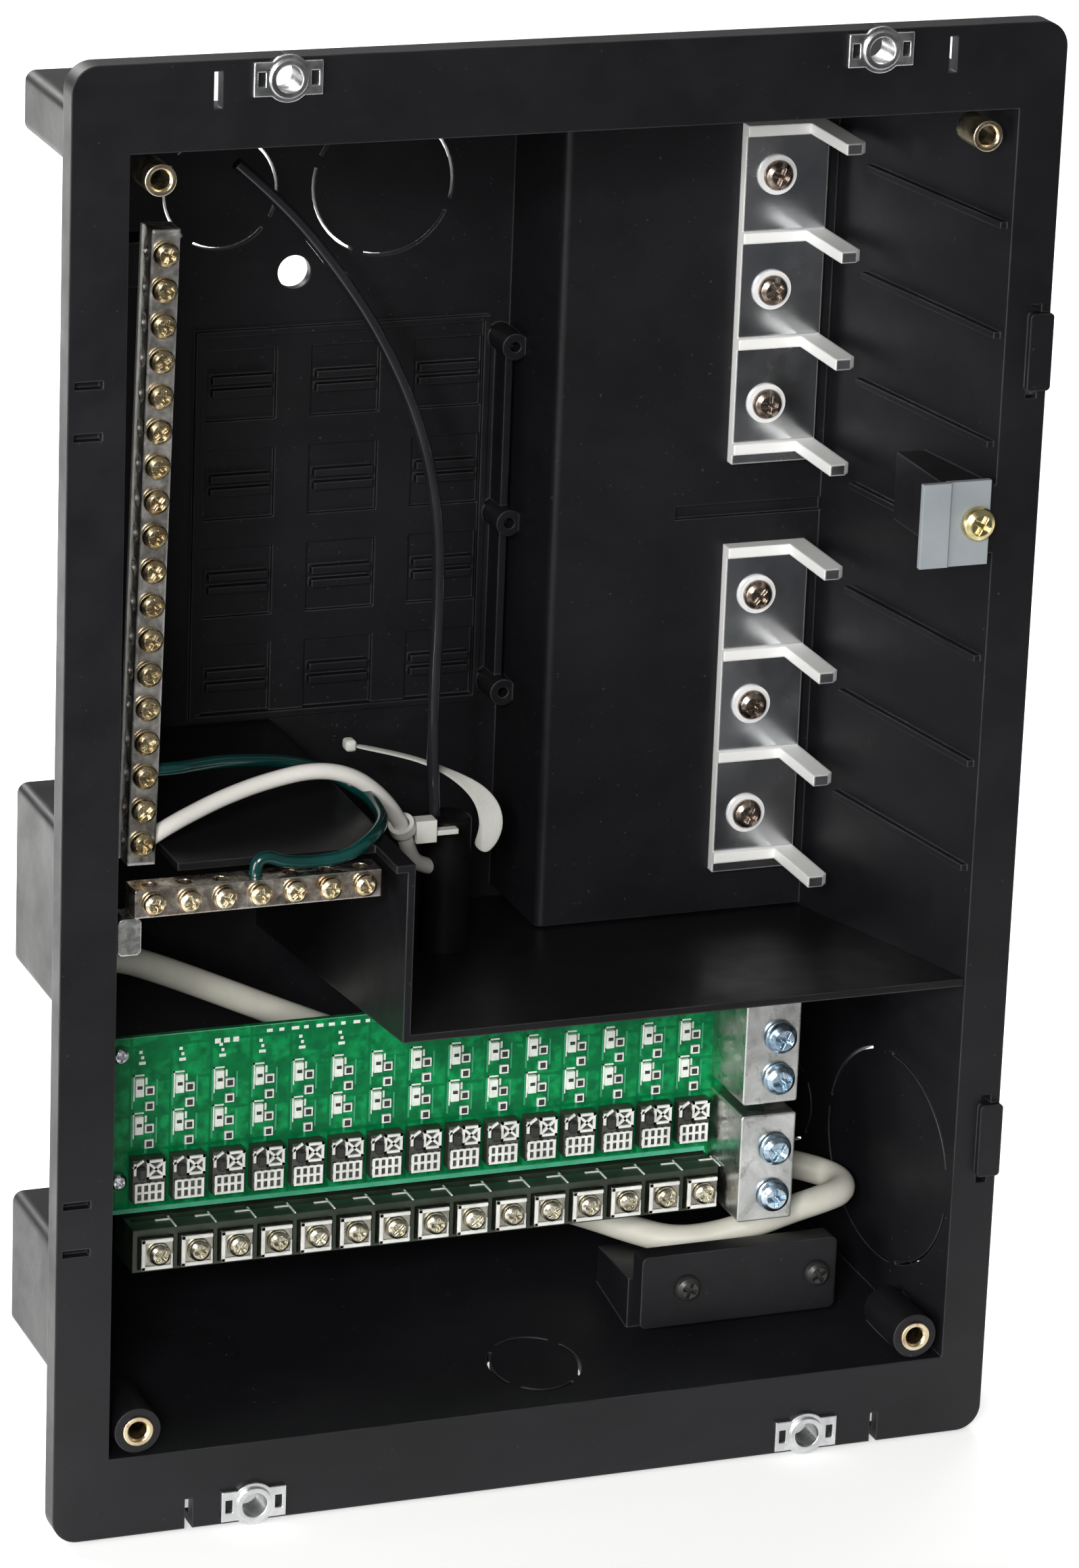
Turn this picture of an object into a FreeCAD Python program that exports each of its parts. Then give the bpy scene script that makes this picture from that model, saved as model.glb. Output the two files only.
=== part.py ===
"""Subpanel enclosure: a recessed plastic box with bus bars, ground and neutral bars and a fuse board.

Millimetres.  X is the width, Y runs into the box from the flange's front face, Z is up.
The origin is the centre of the flange's screw pattern, on the flange's front face.
"""
import FreeCAD, Part
import math
import os

V = FreeCAD.Vector
X_AXIS = V(1, 0, 0)
Y_AXIS = V(0, 1, 0)
Z_AXIS = V(0, 0, 1)

# ---- driving dimensions -------------------------------------------------------------------
# Front opening and tapered tub
OPEN_X = 102.8            # half width of the opening
OPEN_Z = 151.0            # half height of the opening
DEPTH = 105.0             # inside depth
BACK_LEFT = -76.0         # inside corners of the back wall
BACK_RIGHT = 87.0
BACK_Z = 133.0
WALL = 2.5

# Flange
FLANGE_LEFT = 13.0        # strip widths beyond the opening
FLANGE_RIGHT = 10.8
FLANGE_TOP = 19.5
FLANGE_T = 3.0
RIM_DEPTH = 6.0           # the rim turns back this far
RIM_T = 2.2
FLANGE_R = 6.0

# Flange screw pattern and its clip nuts
NUT_X = 68.3
NUT_Z = 166.0
NUT_HOLE_R = 3.0
NUT_RING_R = 5.2
NUT_W = 15.4
NUT_H = 7.4
NUT_T = 1.0
FLANGE_HOLE_R = 4.4
BARREL_R = 4.2
NUT_TONGUE = 5.0          # the tongue behind the flange

# Cover screw bosses and brass inserts
BOSS_X = 95.8
BOSS_Z = 145.0
BOSS_R = 5.4
BOSS_FRONT = 0.8
BOSS_STRAIGHT = 18.5      # straight this far, then leaning with the walls
BOSS_BACK = 45.0
INSERT_R = 3.5
INSERT_HOLE_R = 2.1
INSERT_L = 9.0

# Cover catches on the side strips
CATCH_IN = 108.2
CATCH_OUT = 113.9
CATCH_H = 18.0
CATCH_Z = (95.0, -96.0)
CATCH_PROUD = 1.6
CATCH_GAP = 2.0
CATCH_GAP_W = 2.6
PRY_X = (-114.3, -108.0)    # the left side has a pair of blind slots at each catch
PRY_ZS = (95.3, -93.7)
PRY_HALF = 4.9
PRY_H = 1.7
PRY_FLOOR = 0.7

# Slots beside the clip nuts
KEY_SLOT_XS = (-83.6, 86.0)
KEY_SLOT_W = 1.8
KEY_SLOT_H = 8.0
KEY_SLOT_TOP_Z = 164.0
KEY_SLOT_LOW_Z = -167.2

# Pads outside the side walls, cored out from behind
PAD_BACK = 70.0
PAD_WALL = 2.0
PAD_SPANS = ((139.4, 153.4), (-56.5, -12.5), (-146.8, -113.4))

# Raised breaker platform
PLAT_LEFT = 24.0
PLAT_Y = 73.0
PLAT_BOTTOM = -61.2
PLAT_R = 2.0
PLAT_SLOT = (55.0, 92.0, 37.6, 40.8)      # x0, x1, z0, z1
SLOT_DEPTH = 1.4

# Knockouts: x or y, z, radius
KO_SMALL = (-48.2, 114.3, 13.9)
KO_LARGE = (-8.7, 114.3, 17.4)
KO_GAP = 0.7
KO_OUTER = 7.0
KO_INNER = 4.5
KO_TAB = 3.0
WIRE_HOLE = (-29.8, 94.2, 4.0)
SIDE_KO = ((28.2, -110.2, 26.4), (73.0, -111.5, 11.1))
SIDE_KO_TABS = ((10, 74, 80, 86, 170, 176, 182, 188, 260, 330), (45, 135, 225, 315))
FLOOR_KO = (6.0, 17.0, 11.1)              # x, y, radius

# Vent grid
VENT_X0 = -42.0
VENT_Z0 = 67.8
VENT_PX = 25.4
VENT_PZ = 23.9
VENT_COLS = 3
VENT_ROWS = 4
VENT_CELL = 17.0
VENT_RECESS = 1.3
VENT_BAR_W = 14.5
VENT_BAR_H = 1.7
VENT_BAR_GAP = 1.5
VENT_BAR_PROUD = 1.0
FRAME_W = 1.4
FRAME_PROUD = 1.2

# Bosses and rib between the grid and the platform
POST_X = 21.5
POST_ZS = (76.0, 33.0, -9.0)
POST_R = 3.2
POST_L = 11.0
POST_RIB_W = 1.8
POST_RIB_L = 7.0

# Ribs on the right wall, one breaker pitch apart
PITCH = 25.4
RIB_Z0 = 124.0
RIB_COUNT = 7
RIB_T = 1.5
RIB_PROUD = 1.6
RIB_Y = (2.0, 58.0)

# Hold-down post and clip
CLIP_PIVOT_X = 97.8
CLIP_PIVOT_Z = 56.1
CLIP_LEFT = 84.0
CLIP_RIGHT = 100.9
CLIP_HALF_H = 9.9
CLIP_T = 1.5
CLIP_GAP = 0.3
CLIP_STEP_X = 90.3
CLIP_STEP = 0.5
CLIP_SCREW_R = 2.0
POST_LEFT = 91.5
POST_HALF_H = 8.0
POST_DEPTH = 30.0

# Partition between the AC and DC compartments
PART_T = 1.8
PART_STEP_X = -33.5
PART_STEP_Z = -14.5
PART_SHELF_Z = -55.2      # at the front edge
PART_FALL = 0.09          # the shelf falls towards the back by this much per mm
PART_FRONT = 0.2
PART_FIT = 0.2
PART_HOLE_R = 6.2
NOTCH_X = (-98.5, -38.0)  # room for the ground bar and its wires
NOTCH_Y = 14.5
BAR_NOTCH_X = (-98.5, -84.5)
BAR_NOTCH_Y = 30.5

# Bus bars
BUS_LEFT = 67.5
BUS_RIGHT = 88.2
BUS_T = 2.8
BUS_TOPS = (131.1, 29.6)
BUS_FINS = 4
BUS_TAIL = 2.5            # the plate goes this far below the last blade
BUS_SCREW_PITCH = 27.4
FIN_T = 2.6
FIN_LEFT = 83.0
FIN_TIP_Y = 48.0
FIN_RIDGE = 1.1
FIN_CHAMFER = 1.6
BUS_SCREW_X = 75.4
BUS_SCREW_R = 3.6
BUS_SCREW_H = 1.9
BUS_SHANK_R = 1.9
BUS_SHANK_L = 5.0
WASHER_R = 4.7
WASHER_T = 0.7

# Neutral bar
NB_X = (-90.8, -84.4)
NB_Y = (22.0, 29.0)
NB_Z = (-17.0, 128.4)
NB_SCREWS = 18
NB_PITCH = 7.9375         # five sixteenths of an inch
NB_LEAN = 1.26            # degrees: the foot of the bar stands nearer to the wall
NB_TOP_SCREW = 123.0
NB_SCREW_R = 2.9
NB_SCREW_H = 1.7
NB_SHANK_R = 1.5
NB_SHANK_L = 4.2
NB_WIRE_R = 1.75
NB_POST_ZS = (119.03, -7.97)
PEG_R = 1.3
PEG_L = 3.0

# Ground bar and its bracket
GB_X = (-97.0, -39.5)
GB_Y = (6.0, 13.0)
GB_Z = (-23.4, -17.0)
GB_SCREWS = 7
GB_PITCH = 8.2
GB_FIRST = -92.6
GB_SCREW_R = 2.7
BRACKET_X = (-100.8, -95.4)
BRACKET_Z = (-32.0, -23.4)
BRACKET_T = 1.5

# Fuse board
BOARD_Y = 40.0
BOARD_T = 1.6
BOARD_X = (-91.8, 70.0)
BOARD_LOW = -108.8
BOARD_TOP = -65.6
BOARD_STEP_X = -25.4
BOARD_STEP_Z = -73.0
BOARD_TAB_X = 48.0
BOARD_TAB_UP = 8.0
WAYS = 15
WAY_X0 = -82.7
WAY_PITCH = 9.61
STANDOFFS = ((-89.2, -69.5), (-89.2, -100.5), (52.0, -69.6))
STANDOFF_R = 2.6
BOARD_SCREW_R = 1.2
BOARD_SCREW_HEAD = 2.1

# Fuse holders along the board
HOLDER_W = 7.8
HOLDER_H = 10.6
HOLDER_LOW = -105.2
HOLDER_D = 3.2
BLADE_W = 2.9
BLADE_H = 3.9
BLADE_PROUD = 1.5
BLADE_SLIT = 0.8

# Indicator lamps and pads
LAMP_LEFT = -2.9          # from the middle of the way
LAMP_UP = 1.2
LAMP_W = 2.0
LAMP_H = 4.4
LAMP_D = 1.1
PAD_X = 0.7
PAD_RISES = (0.1, -3.7)
PAD_SQ = 2.1
PAD_D = 0.6
GROUP_ZS = (-78.9, -88.2)

# Terminal block
TB_X = (-88.2, 56.2)
TB_Y = (31.0, 44.5)
TB_Z = (-119.9, -109.4)
TB_RIB = 1.0
TERM_SQ = 7.5
TERM_T = 1.3
TERM_Z = -115.2
TERM_SCREW_R = 2.7

# Lugs
LUG_X = (57.0, 70.6)
LUG_FRONT = 20.0
LUG_SPANS = ((-89.8, -63.0), (-119.4, -92.7))
LUG_SCREW_X = 65.6
LUG_SCREW_ZS = (-73.3, -83.7, -101.4, -113.2)
LUG_SCREW_R = 3.9
LUG_SCREW_HEAD = 2.6
LUG_SHANK_R = 3.0
LUG_SHANK_L = 8.5
LUG_FIT = 0.08
LUG_WIRE_R = 3.2
LUG_WIRE_Y = 33.0
LUG_BOLT_R = 2.5
LUG_BOLT_IN = 3.6           # the bolt stops short of the wire holes

# Cable clamp on the floor
CLAMP_X = (33.0, 84.5)
CLAMP_BASE_Y = (27.0, 47.0)
CLAMP_BASE_TOP = -133.8
CLAMP_BAR_Y = (21.0, 26.7)
CLAMP_Z = (-144.5, -125.9)
CLAMP_SCREW_XS = (45.6, 78.6)
CLAMP_SCREW_Z = -135.2
CLAMP_SCREW_R = 3.2

# Wires and cables: routes by hand, in order from one end to the other
CABLE_R = 3.4
CABLE_HOLE_GAP = 0.6
CABLE_ROUTE = ((-91.0, 58.0, -52.0), (-84.5, 58.6, -52.8), (-75.0, 62.8, -57.6), (-60.0, 69.0, -66.0),
               (-40.0, 71.0, -76.0), (-14.0, 68.5, -87.0), (16.0, 64.0, -98.5), (44.0, 58.5, -107.5),
               (64.0, 53.0, -114.5), (76.0, 49.6, -117.0), (84.5, 46.3, -118.6), (89.9, 42.0, -119.6),
               (91.0, 37.0, -119.9), (88.7, 32.3, -120.1), (82.5, 30.0, -120.5), (75.5, 30.3, -122.2),
               (68.0, 31.5, -125.0), (58.0, 33.5, -128.4), (48.0, 37.0, -130.0), (41.0, 45.5, -129.9),
               (33.0, 53.0, -128.3), (22.0, 58.0, -125.4), (5.0, 60.5, -121.5), (-9.0, 62.0, -115.0),
               (-18.5, 60.5, -106.5), (-23.0, 53.5, -98.5), (-23.0, 41.6, -97.0))
BLACK_R = 1.45
BLACK_ROUTE = ((-4.8, 66.4, -31.0), (-5.4, 66.5, -22.0), (-5.9, 66.9, -12.0), (-5.7, 68.0, 2.0),
               (-4.6, 69.5, 22.0), (-5.0, 70.5, 44.0), (-9.6, 71.5, 65.5), (-19.5, 72.5, 87.0),
               (-31.0, 73.0, 104.0), (-44.0, 73.2, 119.5), (-55.0, 73.0, 129.0))
WHITE_R = 1.9
WHITE_ROUTE = ((-87.45, 25.5, -11.9), (-82.6, 26.2, -9.6), (-76.0, 28.2, -7.6), (-68.2, 31.2, -5.9),
               (-57.4, 34.8, -4.4), (-44.9, 37.4, -3.5), (-34.6, 40.2, -6.8), (-25.4, 46.0, -14.8),
               (-18.5, 52.0, -23.9), (-14.9, 56.4, -32.6), (-11.6, 60.4, -37.4), (-6.4, 64.6, -40.0))
GREEN_R = 1.5
GREEN_ROUTE = ((-87.1, 25.5, 3.94), (-81.5, 26.6, 3.5), (-76.0, 30.2, 2.5), (-68.0, 35.0, 1.2),
               (-56.1, 41.0, -1.6), (-47.3, 45.0, -4.2), (-38.8, 48.3, -8.0), (-33.0, 47.0, -11.2),
               (-30.2, 41.5, -12.9), (-30.6, 33.5, -13.4), (-32.6, 25.5, -12.7), (-35.9, 18.7, -12.3),
               (-40.6, 12.4, -12.6), (-45.6, 9.9, -14.2), (-50.4, 9.5, -15.0), (-56.0, 9.5, -15.1),
               (-61.3, 9.5, -14.5), (-65.4, 9.5, -12.7), (-68.0, 9.5, -14.0), (-68.0, 9.5, -17.2))
SHEATH_X = -2.0
SHEATH_Y = 66.0
SHEATH_R = 5.8
SHEATH_Z = (-74.0, -28.0)

# Cable ties: a small one round the white wire, and a loose strap behind the black one
TIE_AT = (-18.0, 52.6, -25.0)
TIE_ALONG = (0.40, 0.44, -0.80)
TIE_R = 3.1
TIE_W = 2.6
TIE_HEAD_X = (-14.6, -9.6)
TIE_TAIL_X = -3.9
STRAP_T = 1.2
STRAP_Y = (69.9, 74.7)
STRAP_LINE = ((-24.2, -11.1), (-17.0, -13.0), (-7.3, -16.0), (-1.0, -19.2), (5.2, -23.2), (9.2, -27.5),
              (10.4, -32.5), (8.0, -37.2), (3.4, -39.6))
STRAP_HEAD = 3.2


# ---- small helpers ------------------------------------------------------------------------
def box(x0, x1, y0, y1, z0, z1):
    return Part.makeBox(x1 - x0, y1 - y0, z1 - z0, V(x0, y0, z0))


def disc_y(x, z, y0, y1, r):
    return Part.makeCylinder(r, y1 - y0, V(x, y0, z), Y_AXIS)


def rod_x(y, z, x0, x1, r):
    return Part.makeCylinder(r, x1 - x0, V(x0, y, z), X_AXIS)


def rod_z(x, y, z0, z1, r):
    return Part.makeCylinder(r, z1 - z0, V(x, y, z0), Z_AXIS)


def fuse(shapes):
    first = shapes[0]
    if len(shapes) == 1:
        return first
    return first.multiFuse(shapes[1:]).removeSplitter()


def rect_wire(x0, x1, z0, z1, y):
    corners = [V(x0, y, z0), V(x1, y, z0), V(x1, y, z1), V(x0, y, z1)]
    return Part.makePolygon(corners + corners[:1])


def rounded_plate(x0, x1, z0, z1, y0, y1, r):
    plate = box(x0, x1, y0, y1, z0, z1)
    long_edges = [e for e in plate.Edges if abs(e.tangentAt(e.FirstParameter).y) > 0.9]
    return plate.makeFillet(r, long_edges)


def prism_y(points, y0, y1):
    """A plate whose outline is given as (x, z) pairs."""
    corners = [V(x, y0, z) for x, z in points]
    face = Part.Face(Part.makePolygon(corners + corners[:1]))
    return face.extrude(V(0, y1 - y0, 0))


def turned_y(profile, x, z):
    """Revolve (radius, y) pairs about the line through (x, z) along Y."""
    corners = [V(x + r, y, z) for r, y in profile]
    face = Part.Face(Part.makePolygon(corners + corners[:1]))
    return face.revolve(V(x, 0, z), Y_AXIS, 360)


def screw(x, z, seat_y, head_r, head_h, shank_r, shank_l, turn=0.0, slot_only=False):
    """A pan head screw that points into the box, with its head resting at seat_y."""
    dome = head_h * 0.35
    profile = [(0, seat_y - head_h), (head_r * 0.62, seat_y - head_h), (head_r * 0.9, seat_y - head_h + dome),
               (head_r, seat_y - head_h + 2 * dome), (head_r, seat_y), (shank_r, seat_y),
               (shank_r, seat_y + shank_l - shank_r * 0.5), (shank_r * 0.5, seat_y + shank_l),
               (0, seat_y + shank_l)]
    body = turned_y(profile, x, z)
    half = head_r * 0.14
    reach = head_r * (1.1 if slot_only else 0.58)
    deep = head_h * 0.55
    bars = [box(x - reach, x + reach, seat_y - head_h - 1, seat_y - head_h + deep, z - half, z + half)]
    if not slot_only:
        bars.append(box(x - half, x + half, seat_y - head_h - 1, seat_y - head_h + deep, z - reach, z + reach))
    for bar in bars:
        bar.rotate(V(x, 0, z), Y_AXIS, turn)
        body = body.cut(bar)
    return body


def tube(route, r, name):
    """A round cord: straight runs joined by tangent arcs as large as the runs allow."""
    points = [V(*p) for p in route]
    edges = []
    start = points[0]
    radii = []
    for before, corner, after in zip(points, points[1:], points[2:]):
        into = (corner - before)
        out = (after - corner)
        short = min(into.Length, out.Length)
        a = V(into).normalize()
        b = V(out).normalize()
        half_turn = a.getAngle(b) / 2
        setback = 0.45 * short
        radius = setback / math.tan(half_turn)
        radii.append(radius)
        p = corner - a * setback
        q = corner + b * setback
        middle_dir = V(b - a).normalize()
        middle = corner + middle_dir * (radius / math.cos(half_turn) - radius)
        edges.append(Part.LineSegment(start, p).toShape())
        edges.append(Part.Arc(p, middle, q).toShape())
        start = q
    edges.append(Part.LineSegment(start, points[-1]).toShape())
    path = Part.Wire(edges)
    first = (points[1] - points[0]).normalize()
    section = Part.Wire([Part.makeCircle(r, points[0], first)])
    solid = path.makePipeShell([section], True, False)
    ideal = math.pi * r * r * path.Length
    print("%s: length %.1f, smallest radius %.1f, volume / ideal %.4f, radii %s"
          % (name, path.Length, min(radii), solid.Volume / ideal, [round(x, 1) for x in radii]))
    return solid


def solids(shapes):
    return Part.makeCompound(shapes)


# ---- enclosure ----------------------------------------------------------------------------
def wall_x_left(y):
    return -OPEN_X + (BACK_LEFT + OPEN_X) * y / DEPTH


def wall_x_right(y):
    return OPEN_X + (BACK_RIGHT - OPEN_X) * y / DEPTH


def wall_z(y):
    return OPEN_Z + (BACK_Z - OPEN_Z) * y / DEPTH


def tub(grow, y0, y1):
    """The tapered space of the box between two depths, made larger all round by grow."""
    wires = []
    for y in (y0, y1):
        wires.append(rect_wire(wall_x_left(y) - grow, wall_x_right(y) + grow,
                               -wall_z(y) - grow, wall_z(y) + grow, y))
    return Part.makeLoft(wires, True, True)


def flange():
    x0 = -OPEN_X - FLANGE_LEFT
    x1 = OPEN_X + FLANGE_RIGHT
    z1 = OPEN_Z + FLANGE_TOP
    plate = rounded_plate(x0, x1, -z1, z1, 0, RIM_DEPTH, FLANGE_R)
    inner = rounded_plate(x0 + RIM_T, x1 - RIM_T, -z1 + RIM_T, z1 - RIM_T, FLANGE_T, RIM_DEPTH + 1,
                          FLANGE_R - RIM_T)
    return plate.cut(inner)


def side_pads(outer):
    """Square pads outside the tapered walls, so that the box sits square between studs."""
    pads = []
    cores = []
    reach = OPEN_X + WALL
    for z0, z1 in PAD_SPANS:
        for side in (-1, 1):
            xs = sorted((side * reach, side * (reach - 30)))
            pad = rounded_plate(xs[0], xs[1], z0, z1, FLANGE_T - 1, PAD_BACK, 2.5)
            core_xs = sorted((side * (reach - PAD_WALL), side * (reach - 32)))
            core = box(core_xs[0], core_xs[1], FLANGE_T + 2, PAD_BACK + 1, z0 + PAD_WALL, z1 - PAD_WALL)
            pads.append(pad.cut(tub(0.0, -1, DEPTH + WALL)))
            cores.append(core.cut(outer))
    return pads, cores


def knockout_slit(make_rod, tabs, tab_box):
    """A ring shaped slit, left whole at the tabs."""
    ring = make_rod(0.0).cut(make_rod(-KO_GAP))
    for angle in tabs:
        ring = ring.cut(tab_box(angle))
    return ring


def back_knockout(x, z, r, tabs):
    y0 = DEPTH - 1
    y1 = DEPTH + WALL + 1

    def make_rod(grow):
        return disc_y(x, z, y0, y1, r + grow)

    def tab_box(angle):
        bar = box(x, x + r + 2, y0 - 1, y1 + 1, z - KO_TAB / 2, z + KO_TAB / 2)
        bar.rotate(V(x, 0, z), Y_AXIS, angle)
        return bar

    return knockout_slit(make_rod, tabs, tab_box)


def side_knockout(y, z, r, tabs):
    x_mid = wall_x_right(y)

    def make_rod(grow):
        return rod_x(y, z, x_mid - KO_INNER, x_mid + KO_OUTER, r + grow)

    def tab_box(angle):
        bar = box(x_mid - KO_OUTER, x_mid + KO_OUTER + 3, y, y + r + 2, z - KO_TAB / 2, z + KO_TAB / 2)
        bar.rotate(V(0, y, z), X_AXIS, angle)
        return bar

    return knockout_slit(make_rod, tabs, tab_box)


def floor_knockout(x, y, r, tabs):
    z_mid = -wall_z(y)

    def make_rod(grow):
        return rod_z(x, y, z_mid - 7, z_mid + 6, r + grow)

    def tab_box(angle):
        bar = box(x, x + r + 2, y - KO_TAB / 2, y + KO_TAB / 2, z_mid - 8, z_mid + 7)
        bar.rotate(V(x, y, 0), Z_AXIS, angle)
        return bar

    return knockout_slit(make_rod, tabs, tab_box)


def slanted_rod(x, z, y0, y1, r):
    """A round post that leans inwards with the two walls beside it."""
    long = y1 - y0
    lean_x = wall_x_right(long) - OPEN_X if x > 0 else wall_x_left(long) + OPEN_X
    lean_z = (wall_z(long) - OPEN_Z) * (1 if z > 0 else -1)
    ring = Part.makeCircle(r, V(x, y0, z), Y_AXIS)
    return Part.Face(Part.Wire([ring])).extrude(V(lean_x, long, lean_z))


def boss_places():
    return [(sx * BOSS_X, sz * BOSS_Z) for sx in (-1, 1) for sz in (-1, 1)]


def vent_grid():
    """Recesses, louvre bars and the frame of the grid on the back wall."""
    recesses = []
    raised = []
    half = VENT_CELL / 2
    for col in range(VENT_COLS):
        for row in range(VENT_ROWS):
            x = VENT_X0 + col * VENT_PX
            z = VENT_Z0 - row * VENT_PZ
            recesses.append(box(x - half, x + half, DEPTH - 1, DEPTH + VENT_RECESS, z - half, z + half))
            for side in (-1, 1):
                middle = z + side * (VENT_BAR_H + VENT_BAR_GAP) / 2
                raised.append(box(x - VENT_BAR_W / 2, x + VENT_BAR_W / 2, DEPTH - VENT_BAR_PROUD,
                                  DEPTH + VENT_RECESS + 0.2, middle - VENT_BAR_H / 2,
                                  middle + VENT_BAR_H / 2))
    x0 = VENT_X0 - half - 3
    x1 = VENT_X0 + (VENT_COLS - 1) * VENT_PX + half + 1.5
    z1 = VENT_Z0 + half + 5
    z0 = VENT_Z0 - (VENT_ROWS - 1) * VENT_PZ - half - FRAME_W
    y0 = DEPTH - FRAME_PROUD
    y1 = DEPTH + 0.5
    outer = box(x0, x1, y0, y1, z0, z1)
    frame = outer.cut(box(x0 + FRAME_W, x1 - FRAME_W, y0 - 1, y1 + 1, z0 + FRAME_W, z1 - FRAME_W))
    raised.append(frame)
    return recesses, raised


def wall_posts():
    parts = []
    y1 = DEPTH + 0.5
    for z in POST_ZS:
        post = disc_y(POST_X, z, DEPTH - POST_L, y1, POST_R)
        bore = disc_y(POST_X, z, DEPTH - POST_L - 1, DEPTH - 3, POST_R * 0.4)
        parts.append(post.cut(bore))
    parts.append(box(POST_X - POST_RIB_W / 2, POST_X + POST_RIB_W / 2, DEPTH - POST_RIB_L, y1,
                     POST_ZS[-1], POST_ZS[0]))
    return parts


def wall_ribs():
    """Horizontal ribs on the right wall, which follow its taper."""
    parts = []
    for i in range(RIB_COUNT):
        z = RIB_Z0 - i * PITCH
        corners = []
        for y, inward in ((RIB_Y[0], RIB_PROUD), (RIB_Y[1], RIB_PROUD), (RIB_Y[1], -1.0), (RIB_Y[0], -1.0)):
            corners.append(V(wall_x_right(y) - inward, y, z - RIB_T / 2))
        face = Part.Face(Part.makePolygon(corners + corners[:1]))
        parts.append(face.extrude(V(0, 0, RIB_T)))
    return parts


def hold_down_post():
    """A square post on the right wall, which the clip's screw goes into."""
    return box(POST_LEFT, OPEN_X + 1, 0, POST_DEPTH, CLIP_PIVOT_Z - POST_HALF_H, CLIP_PIVOT_Z + POST_HALF_H)


def catches():
    parts = []
    slots = []
    for z in CATCH_Z:
        parts.append(rounded_plate(CATCH_IN, CATCH_OUT, z - CATCH_H / 2, z + CATCH_H / 2, -CATCH_PROUD,
                                   RIM_DEPTH, 1.0))
        for end in (-1, 1):
            edge = z + end * CATCH_H / 2
            zs = sorted((edge, edge + end * CATCH_GAP))
            slots.append(box(CATCH_IN + 0.5, CATCH_IN + 0.5 + CATCH_GAP_W, -1, FLANGE_T + 1, zs[0], zs[1]))
    for z in PRY_ZS:
        for end in (-1, 1):
            zs = sorted((z + end * PRY_HALF, z + end * (PRY_HALF + PRY_H)))
            slots.append(box(PRY_X[0], PRY_X[1], -1, FLANGE_T - PRY_FLOOR, zs[0], zs[1]))
    return parts, slots


def neutral_x(z):
    """The middle of the neutral bar's width, at a height: the bar leans."""
    return sum(NB_X) / 2 - (NB_TOP_SCREW - z) * math.sin(math.radians(NB_LEAN))


def bar_posts():
    """Posts on the left wall that carry the neutral bar, each with a peg for the bar's back."""
    parts = []
    for z in NB_POST_ZS:
        x = neutral_x(z)
        right = x + (NB_X[1] - NB_X[0]) / 2 + 0.6
        parts.append(box(wall_x_left(NB_Y[1]) - 1.0, right, NB_Y[1], NB_Y[1] + 9, z - 5, z + 5))
        parts.append(disc_y(x, z, NB_Y[1] - PEG_L, NB_Y[1] + 1, PEG_R))
    return parts


def board_posts():
    parts = []
    for x, z in STANDOFFS:
        post = disc_y(x, z, BOARD_Y + BOARD_T, DEPTH + 0.5, STANDOFF_R)
        parts.append(post.cut(disc_y(x, z, BOARD_Y, BOARD_Y + 12, BOARD_SCREW_R + 0.1)))
    return parts


def bus_places():
    """The three screws of each bus bar, spread about the middle of its blades."""
    places = []
    for top in BUS_TOPS:
        middle = top - PITCH * (BUS_FINS - 1) / 2
        for i in (-1, 0, 1):
            places.append((BUS_SCREW_X, middle - BUS_SCREW_PITCH * i))
    return places


def clamp_seat():
    """The moulded block on the floor that the clamp bar screws onto."""
    return box(CLAMP_X[0], CLAMP_X[1], CLAMP_BASE_Y[0], CLAMP_BASE_Y[1], -OPEN_Z, CLAMP_BASE_TOP)


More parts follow.
